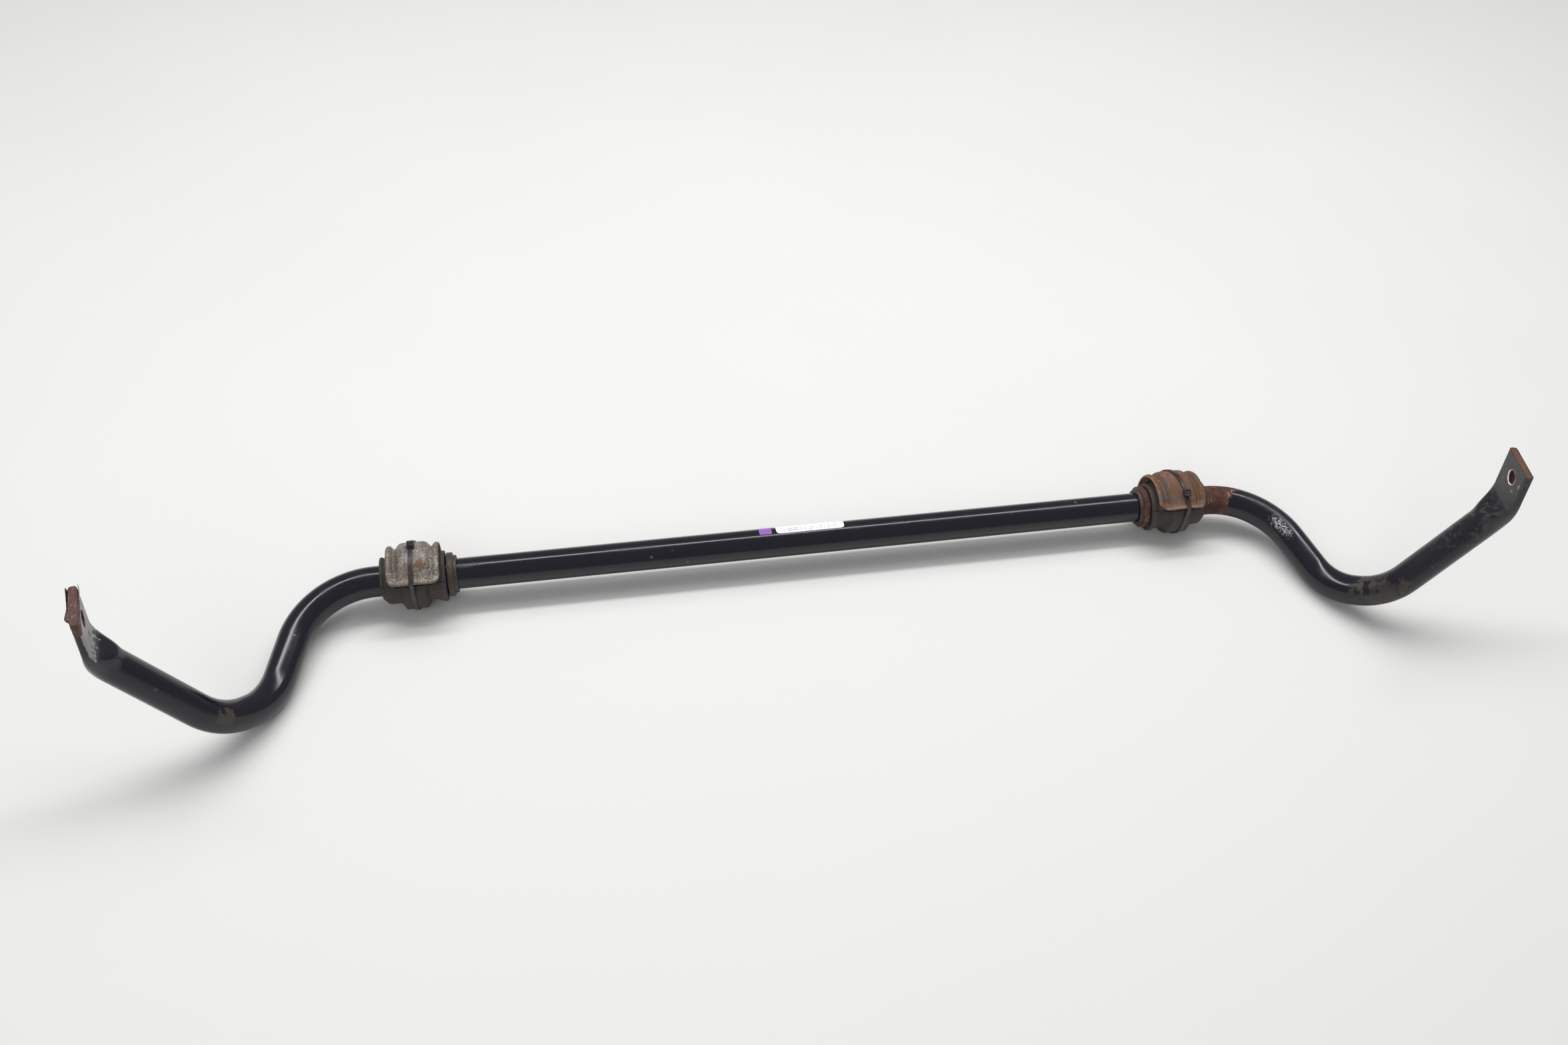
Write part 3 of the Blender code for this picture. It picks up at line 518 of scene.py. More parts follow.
def bar_mesh(finish):
    """Skin and bore of the bar as one closed surface, joined across the two cut ends."""
    s = sizes()
    skin, marks = whole_bar(0.0, 0.0, s.station_step)
    bore, _ = whole_bar(s.tube_wall, (s.eye_thickness - s.eye_slit) / 2, s.station_step * 3)
    count = s.tube_sides
    start = len(skin) * count
    skin_last, bore_last = (len(skin) - 1) * count, start + (len(bore) - 1) * count
    j = np.arange(count)
    following = (j + 1) % count
    near_end = np.stack([j, following, following + start, j + start], axis=1)
    far_end = np.stack([j + bore_last, following + bore_last, following + skin_last, j + skin_last], axis=1)
    faces = np.concatenate([grid_quads(len(skin), count, wrap_columns=True)[:, ::-1],
                            grid_quads(len(bore), count, wrap_columns=True, start=start),
                            near_end, far_end])
    inside = {mark: float(mark == "cut") for mark in marks}
    marks = {mark: np.append(values, np.full(len(bore) * count, inside[mark]))
             for mark, values in marks.items()}
    vertices = np.concatenate([skin.reshape(-1, 3), bore.reshape(-1, 3)])
    return piece("bar_finish", vertices, faces, finish, sharp=38.0, marks=marks)


def rust_and_glint_holes(item):
    """Rust in both link holes, and a painted highlight on the right one's inner rim."""
    mesh = item.data
    points = np.empty(len(mesh.vertices) * 3)
    mesh.vertices.foreach_get("co", points)
    points = points.reshape(-1, 3)
    walls = {}
    for side in SIDES:
        away = to_side(side, points) - EYE_HOLE
        on_axis = eye_place(points, side)[0] < sizes().hole_radius + 0.1 * MM
        walls[side] = on_axis & (np.linalg.norm(away, axis=1) < HOLE_REACH)
    # The right hole's inner rim gets a painted highlight: its bare mark is set to 2, which the paint turns
    # pale grey.
    rim = walls["right"] & (away @ EYE_OUTWARD < -sizes().eye_thickness * 0.4)
    for mark, on_wall, at_glint_rim in (("bare_and_glint", 0.0, 2.0), ("rust", 1.0, 0.0), ("cut", 0.0, 0.0),
                                  ("grime", 0.0, 0.0), ("pale", 0.0, 0.0)):
        layer = mesh.attributes[mark].data
        values = np.empty(len(layer), dtype=np.float32)
        layer.foreach_get("value", values)
        values[walls["left"] | walls["right"]] = on_wall
        values[rim] = at_glint_rim
        layer.foreach_set("value", values)


def on_left_eye(local):
    """Points given across, out of and along the left eye, measured from its link hole."""
    along = unit(sizes().leg_eye)
    across = np.cross(along, EYE_OUTWARD)
    place = local[..., :1] * across + local[..., 1:2] * EYE_OUTWARD + local[..., 2:3] * along
    return to_side("left", place + EYE_HOLE)


def make_rust_block(finish):
    """Swollen rust on the left cut end that runs down its front edge, with a flake on its outer face.

    Rings across the eye are x = a sgn(cos) |cos|^(1/4), y = b sgn(sin) |sin|^(1/3), pushed in and
    out by waves. Depth below the end doubles at the front, and the flake adds a bump of
    1 - (distance / reach)^2 to y.
    """
    end = sizes().eye_from_hole
    count = 160
    levels = np.array([(-7.0, 0.94, 0.80), (-6.4, 0.98, 1.02), (-5.2, 1.0, 1.05), (-4.0, 1.0, 1.06),
                       (-3.0, 1.0, 1.07), (-2.2, 1.0, 1.08), (-1.2, 0.99, 1.0), (-0.7, 0.96, 0.82),
                       (-0.6, 0.85, 0.55), (-0.8, 0.6, 0.3), (-0.7, 0.02, 0.02)])
    above_end, wide, deep = levels[:, :1], levels[:, 1:2], levels[:, 2:3]
    angle = (np.arange(count) + 0.5) / count * 2 * math.pi
    reach = np.where(np.cos(angle) < 0, 20.1 * MM, 19.2 * MM)
    x = reach * wide * signed_power(np.cos(angle), 0.25)
    y = 3.1 * MM * deep * signed_power(np.sin(angle), 0.33)
    front = smooth(-x, 12.5 * MM, 18.5 * MM)
    z = end + above_end * MM * (1 + 0.95 * front)
    grid = np.stack([x, y, z], axis=-1)
    rough = waves(grid, 90, 420.0, 4) * 0.35 + waves(grid, 93, 1300.0, 2) * 0.22
    grid[..., 1] += rough * MM * (deep > 0.5)
    grid[..., 2] += waves(grid, 91, 380.0, 3) * 0.45 * MM
    away = ((grid[..., 0] + 9.5 * MM) / (5.0 * MM)) ** 2 + ((z - end + 3.5 * MM) / (2.6 * MM)) ** 2
    grid[..., 1] += np.clip(1 - away, 0, 1) * (grid[..., 1] > 0) * 3.0 * MM
    item = piece("left_eye_rust", on_left_eye(grid), capped_quads(len(levels), count), finish, sharp=35.0)
    settle(item, "bar", "rusty_steel")


def make_sliver(name, finish, start, stop, peak, offset, lean):
    """A blade of lifted paint: its height rises from 0 to a peak along the eye's edge.

    The height is peak times t^1.5 up to the point and falls at once after it; the blade leans
    out from the eye by the square of the way up it, and thins towards its edge.
    """
    root = 3.0 * MM
    t = np.linspace(0.0, 1.0, 25)[:, None]
    v = np.linspace(0.0, 1.0, 7)[None, :]
    height = np.maximum(peak * np.minimum(t ** 1.5, (1.02 - t) * 9.0), 0.3 * MM) + root
    z = sizes().eye_from_hole - 5.0 * MM + height * v
    x = start + (stop - start) * t + z * 0.0
    y = offset + lean * v ** 2 + z * 0.0
    thickness = 0.42 * MM * (1 - 0.6 * v) * np.sign(offset)
    outer, inner = np.stack([x, y, z], axis=-1), np.stack([x, y - thickness, z], axis=-1)
    vertices, faces = closed_sheet(outer, inner)
    settle(piece(name, on_left_eye(vertices), faces, finish, sharp=30.0), "bar", "black_paint")


# ---------------------------------------------------------------- shader helpers

class Tree:
    """Short calls that add and join shader nodes in a material or a node group."""

    def __init__(self, tree, finish=None):
        self.tree = tree
        self.finish = finish

    def node(self, kind, **settings):
        """A node with its settings."""
        node = self.tree.nodes.new(kind)
        for key, value in settings.items():
            setattr(node, key, value)
        return node

    def fill(self, node, inputs):
        """Link each input, by name or number, to an output, or set it to a constant."""
        for key, value in inputs.items():
            socket = node.inputs[key]
            if isinstance(value, bpy.types.NodeSocket):
                self.tree.links.new(value, socket)
            elif socket.type == "RGBA":
                socket.default_value = (*value[:3], 1.0)
            else:
                socket.default_value = value
        return node.outputs

    def feed(self, node, **inputs):
        """The same, with names as keywords that have underscores for spaces."""
        return self.fill(node, {name.replace("_", " "): value for name, value in inputs.items()})

    def shade(self, **inputs):
        """Feed the Principled shader and give the finished material."""
        self.feed(self.tree.nodes["Principled BSDF"], **inputs)
        return self.finish

    def coords(self):
        """Object coordinates."""
        return self.node("ShaderNodeTexCoord").outputs["Object"]

    def mark(self, name):
        """A painted mask."""
        return self.node("ShaderNodeAttribute", attribute_name=name).outputs["Fac"]

    def noise(self, vector, scale, detail=4.0, rough=0.55, warp=0.0):
        """Noise from 0 to 1."""
        return self.feed(self.node("ShaderNodeTexNoise"), Vector=vector, Scale=scale, Detail=detail,
                         Roughness=rough, Distortion=warp)["Fac"]

    def cells(self, vector, scale):
        """Distance to the nearest of scattered points."""
        return self.feed(self.node("ShaderNodeTexVoronoi"), Vector=vector, Scale=scale)["Distance"]

    def stretch(self, vector, x, y, z):
        """Coordinates scaled along each axis."""
        return self.feed(self.node("ShaderNodeMapping"), Vector=vector, Scale=(x, y, z))["Vector"]

    def step(self, value, low, high, start=0.0, end=1.0):
        """Smooth step of a value from start to end."""
        node = self.node("ShaderNodeMapRange", interpolation_type="SMOOTHSTEP")
        return self.feed(node, Value=value, From_Min=low, From_Max=high, To_Min=start, To_Max=end)["Result"]

    def maths(self, operation, a, b, clamp=False):
        """One sum on two values."""
        node = self.node("ShaderNodeMath", operation=operation, use_clamp=clamp)
        return self.fill(node, {0: a, 1: b})["Value"]

    def times(self, a, b):
        """The product of two values."""
        return self.maths("MULTIPLY", a, b)

    def plus(self, a, b):
        """The sum of two values."""
        return self.maths("ADD", a, b)

    def mix(self, share, a, b):
        """Colour a where share is 0 and b where it is 1."""
        return self.fill(self.node("ShaderNodeMix", data_type="RGBA"), {0: share, 6: a, 7: b})[2]

    def blend(self, share, a, b):
        """Number a where share is 0 and b where it is 1."""
        return self.fill(self.node("ShaderNodeMix", data_type="FLOAT"), {0: share, 2: a, 3: b})[0]

    def group(self, name, **inputs):
        """One of the shared effects, with its own values."""
        return self.feed(self.node("ShaderNodeGroup", node_tree=shared_group(name)), **inputs)

    def ragged(self, where, mark, scale, amount):
        """A painted mask with a ragged edge."""
        return self.group("ragged_mask", Vector=where, Mask=self.mark(mark), Scale=scale,
                          Amount=amount)["Mask"]

    def bump(self, height, strength, distance):
        """A normal from a height."""
        return self.feed(self.node("ShaderNodeBump"), Height=height, Strength=strength,
                         Distance=distance)["Normal"]


GROUP_SOCKETS = {
    "rust_skin": (("Vector", "Scale"), ("Color", "Roughness", "Height")),
    "ragged_mask": (("Vector", "Mask", "Scale", "Amount"), ("Mask",)),
    "road_dust": (("Vector", "Color", "Amount", "Scale"), ("Color", "Mask")),
    "fine_grain": (("Vector", "Scale"), ("Height",)),
}


def shared_group(name):
    """An effect that several finishes use, made once."""
    group = bpy.data.node_groups.get(name)
    if group:
        return group
    group = bpy.data.node_groups.new(name, "ShaderNodeTree")
    inputs, outputs = GROUP_SOCKETS[name]
    kinds = {"Vector": "NodeSocketVector", "Color": "NodeSocketColor"}
    for direction, names in (("INPUT", inputs), ("OUTPUT", outputs)):
        for socket in names:
            group.interface.new_socket(socket, in_out=direction,
                                       socket_type=kinds.get(socket, "NodeSocketFloat"))
    tree = Tree(group)
    given = tree.node("NodeGroupInput").outputs
    result = tree.node("NodeGroupOutput")
    GROUP_MAKERS[name](tree, given, result)
    return group


def fill_rust_skin(tree, given, result):
    """Layers of rust: dark brown under red, pale scale in spots, orange bloom in hollows."""
    where, scale = given["Vector"], given["Scale"]
    broad = tree.noise(where, tree.times(scale, 60.0), 6.0, 0.62)
    fine = tree.noise(where, tree.times(scale, 420.0), 5.0, 0.6)
    scale_spots = tree.cells(where, tree.times(scale, 330.0))
    c = colours()
    base = tree.mix(tree.step(broad, 0.38, 0.62), c.rust_dark, c.rust_red)
    base = tree.mix(tree.step(fine, 0.5, 0.72), base, c.rust_orange)
    pale = tree.times(tree.step(scale_spots, 0.42, 0.12), tree.step(broad, 0.45, 0.62))
    base = tree.mix(tree.times(pale, 0.8), base, c.rust_pale)
    height = tree.plus(tree.times(fine, 0.6), tree.times(broad, 0.8))
    tree.feed(result, Color=base, Roughness=tree.step(fine, 0.3, 0.8, 0.72, 0.95), Height=height)


def fill_ragged_mask(tree, given, result):
    """A painted mask with its edge broken up by noise."""
    frayed = tree.noise(given["Vector"], given["Scale"], 6.0, 0.65)
    spread = tree.step(frayed, 0.28, 0.72, -0.5, 0.5)
    shift = tree.times(spread, given["Amount"])
    total = tree.plus(given["Mask"], shift)
    tree.feed(result, Mask=tree.step(total, 0.44, 0.56))


def fill_road_dust(tree, given, result):
    """Brown dust that lies in cloudy patches over a colour."""
    cloud = tree.noise(given["Vector"], given["Scale"], 7.0, 0.6, 0.4)
    mask = tree.maths("MULTIPLY", tree.step(cloud, 0.36, 0.68), given["Amount"], True)
    tree.feed(result, Color=tree.mix(mask, given["Color"], colours().dust), Mask=mask)


def fill_fine_grain(tree, given, result):
    """Fine uneven grain."""
    grain = tree.noise(given["Vector"], given["Scale"], 5.0, 0.7)
    tree.feed(result, Height=grain)


GROUP_MAKERS = {"rust_skin": fill_rust_skin, "ragged_mask": fill_ragged_mask,
                "road_dust": fill_road_dust, "fine_grain": fill_fine_grain}


def new_finish(name):
    """The short calls of a new material, and its object coordinates."""
    finish = bpy.data.materials.new(name)
    finish.use_nodes = True
    tree = Tree(finish.node_tree, finish)
    return tree, tree.coords()


# ---------------------------------------------------------------- finishes

def paint_finish():
    """Gloss black paint with grime, chips, torn rust, bare steel and a painted glint where the marks say.
    """
    tree, where = new_finish("gloss_black_paint")
    c = colours()
    broad = tree.noise(where, 45.0, 5.0, 0.6)
    grime = tree.ragged(where, "grime", 150.0, 1.1)
    grime = tree.times(grime, tree.step(broad, 0.3, 0.7, 0.3, 0.9))
    grime = tree.times(grime, tree.step(tree.mark("grime"), 0.05, 0.5))
    rust = tree.ragged(where, "rust", 190.0, 0.7)
    bare_and_glint = tree.ragged(where, "bare_and_glint", 170.0, 0.8)
    skin = tree.group("rust_skin", Vector=where, Scale=1.0)
    dull = tree.mark("dull")
    chips = tree.times(tree.step(tree.cells(where, 62.0), 0.115, 0.07),
                       tree.step(tree.noise(where, 14.0, 2.0), 0.52, 0.62))
    color = tree.mix(tree.times(dull, 0.8), c.paint, (0.026, 0.026, 0.029))
    soil = tree.mix(tree.noise(where, 210.0, 6.0, 0.7), (0.040, 0.032, 0.028), (0.105, 0.078, 0.055))
    color = tree.mix(tree.times(grime, 0.85), color, soil)
    color = tree.mix(chips, color, (0.11, 0.085, 0.07))
    scuff = tree.ragged(where, "pale", 620.0, 1.5)
    scuff = tree.times(scuff, tree.step(tree.mark("pale"), 0.05, 0.6))
    color = tree.mix(tree.times(scuff, 0.85), color, (0.42, 0.42, 0.44))
    steel = tree.mix(tree.noise(where, 260.0, 6.0, 0.7), (0.22, 0.21, 0.20), c.bare_steel)
    streaks = tree.noise(tree.stretch(where, 420.0, 130.0, 60.0), 1.0, 4.0, 0.6)
    steel = tree.mix(tree.step(streaks, 0.55, 0.75, 0.0, 0.8), steel, (0.16, 0.10, 0.07))
    color = tree.mix(bare_and_glint, color, steel)
    # Painted highlight: where the bare mark passes 1, at the right hole's rim, the colour turns pale grey.
    painted_glint = tree.step(tree.mark("bare_and_glint"), 1.05, 1.6)
    color = tree.mix(painted_glint, color, (0.80, 0.80, 0.81))
    color = tree.mix(rust, color, skin["Color"])
    cut = tree.mark("cut")
    color = tree.mix(cut, color, tree.mix(0.55, skin["Color"], (0.250, 0.105, 0.045)))
    gloss = tree.blend(tree.step(broad, 0.4, 0.7), 0.14, 0.24)
    gloss = tree.blend(dull, gloss, 0.42)
    gloss = tree.blend(grime, gloss, 0.62)
    gloss = tree.blend(bare_and_glint, gloss, 0.55)
    worn = tree.maths("MAXIMUM", rust, cut)
    gloss = tree.blend(tree.maths("MAXIMUM", worn, chips), gloss, skin["Roughness"])
    # Bare steel is half metallic, but not under the painted highlight.
    metal = tree.times(bare_and_glint, tree.blend(painted_glint, 0.55, 0.0))
    peel = tree.noise(where, 240.0, 3.0, 0.5)
    height = tree.times(peel, tree.blend(dull, 0.06, 0.35))
    lumps = tree.times(tree.noise(where, 420.0, 5.0, 0.65), tree.mark("bumps"))
    height = tree.plus(height, tree.times(lumps, 1.6))
    height = tree.plus(height, tree.times(grime, tree.noise(where, 900.0, 4.0)))
    height = tree.blend(worn, tree.plus(height, 1.0), skin["Height"])
    height = tree.maths("SUBTRACT", height, tree.times(chips, 0.8))
    return tree.shade(Base_Color=color, Roughness=gloss, Metallic=metal,
                      Normal=tree.bump(height, 0.5, 0.35 * MM), Specular_IOR_Level=0.5)


def ring_finish():
    """Dark steel with brown rust on its raised edges."""
    tree, where = new_finish("dark_ring_steel")
    skin = tree.group("rust_skin", Vector=where, Scale=1.3)
    mask = tree.ragged(where, "rust", 210.0, 0.8)
    dust = tree.group("road_dust", Vector=where, Color=(0.060, 0.050, 0.046), Amount=0.55, Scale=120.0)
    color = tree.mix(mask, dust["Color"], skin["Color"])
    rough = tree.blend(mask, 0.5, skin["Roughness"])
    grain = tree.group("fine_grain", Vector=where, Scale=700.0)
    height = tree.blend(mask, tree.times(grain["Height"], 0.3), skin["Height"])
    return tree.shade(Base_Color=color, Roughness=rough, Normal=tree.bump(height, 0.5, 0.3 * MM),
                      Metallic=tree.times(tree.maths("SUBTRACT", 1.0, mask), 0.45))


def rubber_finish(name, dusty):
    """Charcoal rubber under brown dust."""
    tree, where = new_finish(name)
    c = colours()
    base = tree.mix(tree.noise(where, 90.0, 5.0), c.rubber, (0.052, 0.050, 0.048))
    dust = tree.group("road_dust", Vector=where, Color=base, Amount=dusty, Scale=75.0)
    rub = tree.noise(tree.stretch(where, 500.0, 90.0, 90.0), 1.0, 4.0, 0.6)
    color = tree.mix(tree.step(rub, 0.56, 0.75, 0.0, 0.35), dust["Color"], (0.13, 0.12, 0.115))
    grain = tree.group("fine_grain", Vector=where, Scale=1100.0)
    height = tree.plus(grain["Height"], tree.times(dust["Mask"], 0.5))
    return tree.shade(Base_Color=color, Roughness=tree.blend(dust["Mask"], 0.62, 0.92),
                      Normal=tree.bump(height, 0.4, 0.25 * MM), Specular_IOR_Level=0.35)


def zinc_finish():
    """Worn grey-tan plating with speckle, brown stain and patches of rust."""
    tree, where = new_finish("worn_zinc_plate")
    c = colours()
    broad = tree.noise(where, 70.0, 6.0, 0.62)
    speck = tree.noise(where, 620.0, 6.0, 0.75)
    color = tree.mix(tree.step(broad, 0.35, 0.65), (0.205, 0.170, 0.138), c.zinc)
    color = tree.mix(tree.step(speck, 0.46, 0.60, 0.0, 0.9), color, (0.072, 0.055, 0.044))
    worn = tree.ragged(where, "edge", 200.0, 0.9)
    color = tree.mix(tree.times(worn, 0.75), color, (0.135, 0.085, 0.055))
    bright = tree.times(tree.step(tree.cells(where, 520.0), 0.30, 0.10), tree.step(broad, 0.44, 0.58))
    color = tree.mix(bright, color, (0.62, 0.58, 0.54))
    skin = tree.group("rust_skin", Vector=where, Scale=1.2)
    mask = tree.ragged(where, "rust", 150.0, 0.9)
    tinted = tree.mix(0.45, skin["Color"], (0.19, 0.105, 0.065))
    color = tree.mix(tree.times(mask, 0.85), color, tinted)
    height = tree.plus(tree.times(speck, 0.8), tree.times(broad, 0.5))
    rough = tree.blend(mask, tree.step(speck, 0.4, 0.7, 0.48, 0.75), 0.85)
    return tree.shade(Base_Color=color, Roughness=rough, Normal=tree.bump(height, 0.55, 0.35 * MM),
                      Metallic=tree.times(tree.maths("SUBTRACT", 1.0, mask), 0.35))


def rusty_plate_finish():
    """Rust brown sheet with grey patches of old plating and paler edges."""
    tree, where = new_finish("rusty_plate")
    skin = tree.group("rust_skin", Vector=where, Scale=0.85)
    broad = tree.noise(where, 85.0, 6.0, 0.65)
    grey = tree.mix(tree.noise(where, 500.0, 5.0, 0.7), (0.070, 0.055, 0.045), (0.175, 0.140, 0.110))
    brown = tree.mix(0.5, skin["Color"], (0.190, 0.098, 0.050))
    color = tree.mix(tree.step(broad, 0.47, 0.60), brown, grey)
    mask = tree.ragged(where, "edge", 260.0, 0.7)
    color = tree.mix(tree.times(mask, 0.6), color, (0.28, 0.19, 0.13))
    return tree.shade(Base_Color=color, Roughness=tree.step(broad, 0.4, 0.65, 0.82, 0.6),
                      Normal=tree.bump(skin["Height"], 0.6, 0.4 * MM),
                      Metallic=tree.step(broad, 0.47, 0.60, 0.0, 0.3))


def nylon_finish():
    """Black nylon with faint scuffs."""
    tree, where = new_finish("tie_nylon")
    scuffs = tree.step(tree.noise(tree.stretch(where, 300.0, 900.0, 900.0), 1.0, 3.0), 0.55, 0.8)
    dust = tree.group("road_dust", Vector=where, Color=colours().nylon, Amount=0.3, Scale=220.0)
    color = tree.mix(tree.times(scuffs, 0.4), dust["Color"], (0.09, 0.09, 0.09))
    return tree.shade(Base_Color=color, Roughness=tree.blend(scuffs, 0.38, 0.6),
                      Normal=tree.bump(tree.noise(where, 1500.0, 3.0), 0.25, 0.1 * MM))


def steel_finish(name, tone, rough):
    """Plain steel with a fine brushed grain."""
    tree, where = new_finish(name)
    brushed = tree.noise(tree.stretch(where, 200.0, 2600.0, 2600.0), 1.0, 3.0)
    color = tree.mix(brushed, (tone * 0.8, tone * 0.79, tone * 0.78), (tone, tone, tone))
    return tree.shade(Base_Color=color, Metallic=1.0, Normal=tree.bump(brushed, 0.2, 0.05 * MM),
                      Roughness=tree.step(brushed, 0.3, 0.7, rough, rough + 0.15))


def sticker_finish(name, color, printed):
    """Film with a little dirt, and rows of plain grey dashes where it is printed."""
    tree, where = new_finish(name)
    dirt = tree.step(tree.noise(where, 300.0, 6.0, 0.7), 0.55, 0.85, 0.0, 0.3)
    base = tree.mix(dirt, color, tuple(value * 0.72 for value in color))
    if printed:
        uv = tree.node("ShaderNodeUVMap", uv_map="print").outputs["UV"]
        bars = tree.noise(tree.stretch(uv, 46.0, 2.0, 1.0), 1.0, 1.0)
        ink = tree.times(tree.step(bars, 0.50, 0.56), tree.mark("print_row"))
        base = tree.mix(tree.times(ink, 0.8), base, (0.36, 0.37, 0.41))
    return tree.shade(Base_Color=base, Roughness=tree.blend(dirt, 0.35, 0.6),
                      Normal=tree.bump(dirt, 0.1, 0.05 * MM))


def blade_finish(name, color, rough):
    """A curled film of paint with rust on its back and edges."""
    tree, where = new_finish(name)
    skin = tree.group("rust_skin", Vector=where, Scale=1.4)
    stain = tree.step(tree.noise(where, 330.0, 5.0, 0.65), 0.52, 0.62, 0.0, 0.8)
    return tree.shade(Base_Color=tree.mix(stain, color, skin["Color"]),
                      Roughness=tree.blend(stain, rough, 0.9),
                      Normal=tree.bump(skin["Height"], 0.3, 0.2 * MM))


def scale_finish():
    """Thick layered rust scale."""
    tree, where = new_finish("rust_scale")
    skin = tree.group("rust_skin", Vector=where, Scale=1.0)
    layers = tree.noise(tree.stretch(where, 900.0, 220.0, 220.0), 1.0, 4.0)
    color = tree.mix(tree.step(layers, 0.35, 0.65, 0.15, 0.75), skin["Color"], (0.120, 0.080, 0.065))
    height = tree.plus(skin["Height"], layers)
    return tree.shade(Base_Color=color, Roughness=skin["Roughness"],
                      Normal=tree.bump(height, 0.8, 0.5 * MM))


# ---------------------------------------------------------------- rings, bushes, clamps and ties

def ring_profile():
    """A stop ring's section: bore, tall flange outboard and lower rim inboard."""
    inboard, outboard = RING_BOX[:, 0]
    step = outboard - 5.0 * MM
    rim = RING_FLANGE - 2.5 * MM
    bore = sizes().tube_radius + 0.05 * MM
    return [(outboard, bore), (inboard, bore), (inboard, rim), (step, rim), (step, RING_FLANGE),
            (outboard, RING_FLANGE)]


def make_ring(side, finish):
    """A stop ring: its rounded section carried once round the bar."""
    section = closed_section(ring_profile(), 0.8 * MM, 5, 0.6 * MM)
    angles = np.arange(128) / 128 * 2 * math.pi
    grid = turned(section, angles)
    uneven = 1 + 0.010 * waves(grid, 31 + len(side), 120.0) * (section[:, 1] > 15 * MM)
    grid[..., 1:] *= uneven[..., None]
    edge = smooth(section[:, 1], RING_FLANGE - 1.6 * MM, RING_FLANGE - 0.3 * MM)
    rust = np.broadcast_to(edge * 0.35, grid.shape[:2])
    if side == "right":
        rust = np.clip(rust + 0.42, 0, 1)
    faces = grid_quads(len(angles), len(section), wrap_rows=True, wrap_columns=True)
    item = piece(f"{side}_ring_finish", to_side(side, grid + AXIS), faces, finish, marks={"rust": rust})
    settle(item, "bar", "dark_steel", f"{side}_stop_ring")


def part_turned(profile, angles):
    """A closed (x, r) section carried through part of a turn, with both parting faces closed."""
    return turned(profile, angles), capped_quads(len(angles), len(profile))


BUSH_IN = 25.5 * MM
BUSH_OUT = 27.5 * MM
BULGE_HALF = 8.5 * MM
BUSH_PLAY = 0.15 * MM
BLOCK_STARTS = 12.2 * MM
LEDGE_RADIUS = 28.9 * MM
CLAMP_EDGE = 32.4 * MM
TIE_CROWN = 30.25 * MM
HEAD_SIDES = 48


def lower_section():
    """Lower bush half: flange, groove, bulge and chamfered block."""
    bore = sizes().tube_radius + BUSH_PLAY
    return [(BUSH_OUT, bore), (-BUSH_IN, bore), (-BUSH_IN, 22.0 * MM), (-BUSH_IN + 3 * MM, 22.0 * MM),
            (-17.0 * MM, 19.9 * MM), (-12.0 * MM, 19.5 * MM), (-BULGE_HALF - 0.6 * MM, 25.4 * MM),
            (-BULGE_HALF, 25.9 * MM), (BULGE_HALF, 25.9 * MM), (BULGE_HALF + 0.6 * MM, 25.4 * MM),
            (12.0 * MM, 20.2 * MM), (BUSH_OUT - 5 * MM, 20.2 * MM), (BUSH_OUT, 15.2 * MM)]


def upper_section():
    """Upper bush half: flange, a bulge that fills the clamp, neck and end rim."""
    bore = sizes().tube_radius + BUSH_PLAY
    return [(BUSH_OUT, bore), (-BUSH_IN, bore), (-BUSH_IN, 20.5 * MM), (-BUSH_IN + 3 * MM, 20.5 * MM),
            (-19.5 * MM, 19.6 * MM), (-15.5 * MM, 22.3 * MM), (-10.5 * MM, 27.2 * MM),
            (10.5 * MM, 27.2 * MM), (15.5 * MM, 22.3 * MM), (BUSH_OUT - 3.2 * MM, 18.6 * MM),
            (BUSH_OUT - 2.2 * MM, 19.6 * MM), (BUSH_OUT, 19.6 * MM)]


def make_bush(side, finish):
    """Both halves of a bush: the lower one has a flat on its block, the upper one a ledge at each edge.

    The ledge takes the radius of the part inside the clamp out to its own near the parting faces.
    """
    gap = math.radians(0.5)
    lower = closed_section(lower_section(), 2.2 * MM, 7, 0.9 * MM)
    grid, faces = part_turned(lower, np.linspace(math.pi / 2 + gap, 1.5 * math.pi - gap, 97))
    block = (grid[..., 0] > BLOCK_STARTS) & (grid[..., 2] < -SEAT_DISTANCE)
    grid[..., 2] = np.where(block, -SEAT_DISTANCE, grid[..., 2])
    item = piece(f"{side}_bush_lower_finish", on_mount(side, grid), faces, finish, sharp=50.0)
    settle(item, f"{side}_mount", "rubber", f"{side}_bush_lower")
    upper = closed_section(upper_section(), 0.9 * MM, 5, 0.9 * MM)
    angles = np.linspace(-math.pi / 2 + gap, math.pi / 2 - gap, 121)
    grid, faces = part_turned(upper, angles)
    along, radius = upper[None, :, 0], upper[None, :, 1]
    ledge = smooth(np.abs(angles[:, None]), math.radians(86.4), math.radians(87.0))
    inside = fade(np.abs(along), 14.5 * MM, 16.5 * MM) * (radius > 19 * MM)
    grown = radius + (LEDGE_RADIUS - radius) * ledge * inside
    grid[..., 1:] *= (grown / radius)[..., None]
    item = piece(f"{side}_bush_upper_finish", on_mount(side, grid), faces, finish, sharp=50.0)
    settle(item, f"{side}_mount", "rubber", f"{side}_bush_upper")


def clamp_line():
    """The clamp's outer section along X: flare, groove, crown, groove, flare."""
    half = [(20.8 * MM, 28.0 * MM), (18.6 * MM, 28.7 * MM), (16.9 * MM, 27.0 * MM), (15.5 * MM, 25.2 * MM),
            (14.1 * MM, 25.8 * MM), (11.2 * MM, 29.3 * MM), (8.6 * MM, 30.0 * MM)]
    line = [(-x, r) for x, r in half] + half[::-1]
    return dense_profile(rounded_profile(line, 1.6 * MM, 5), 0.8 * MM)


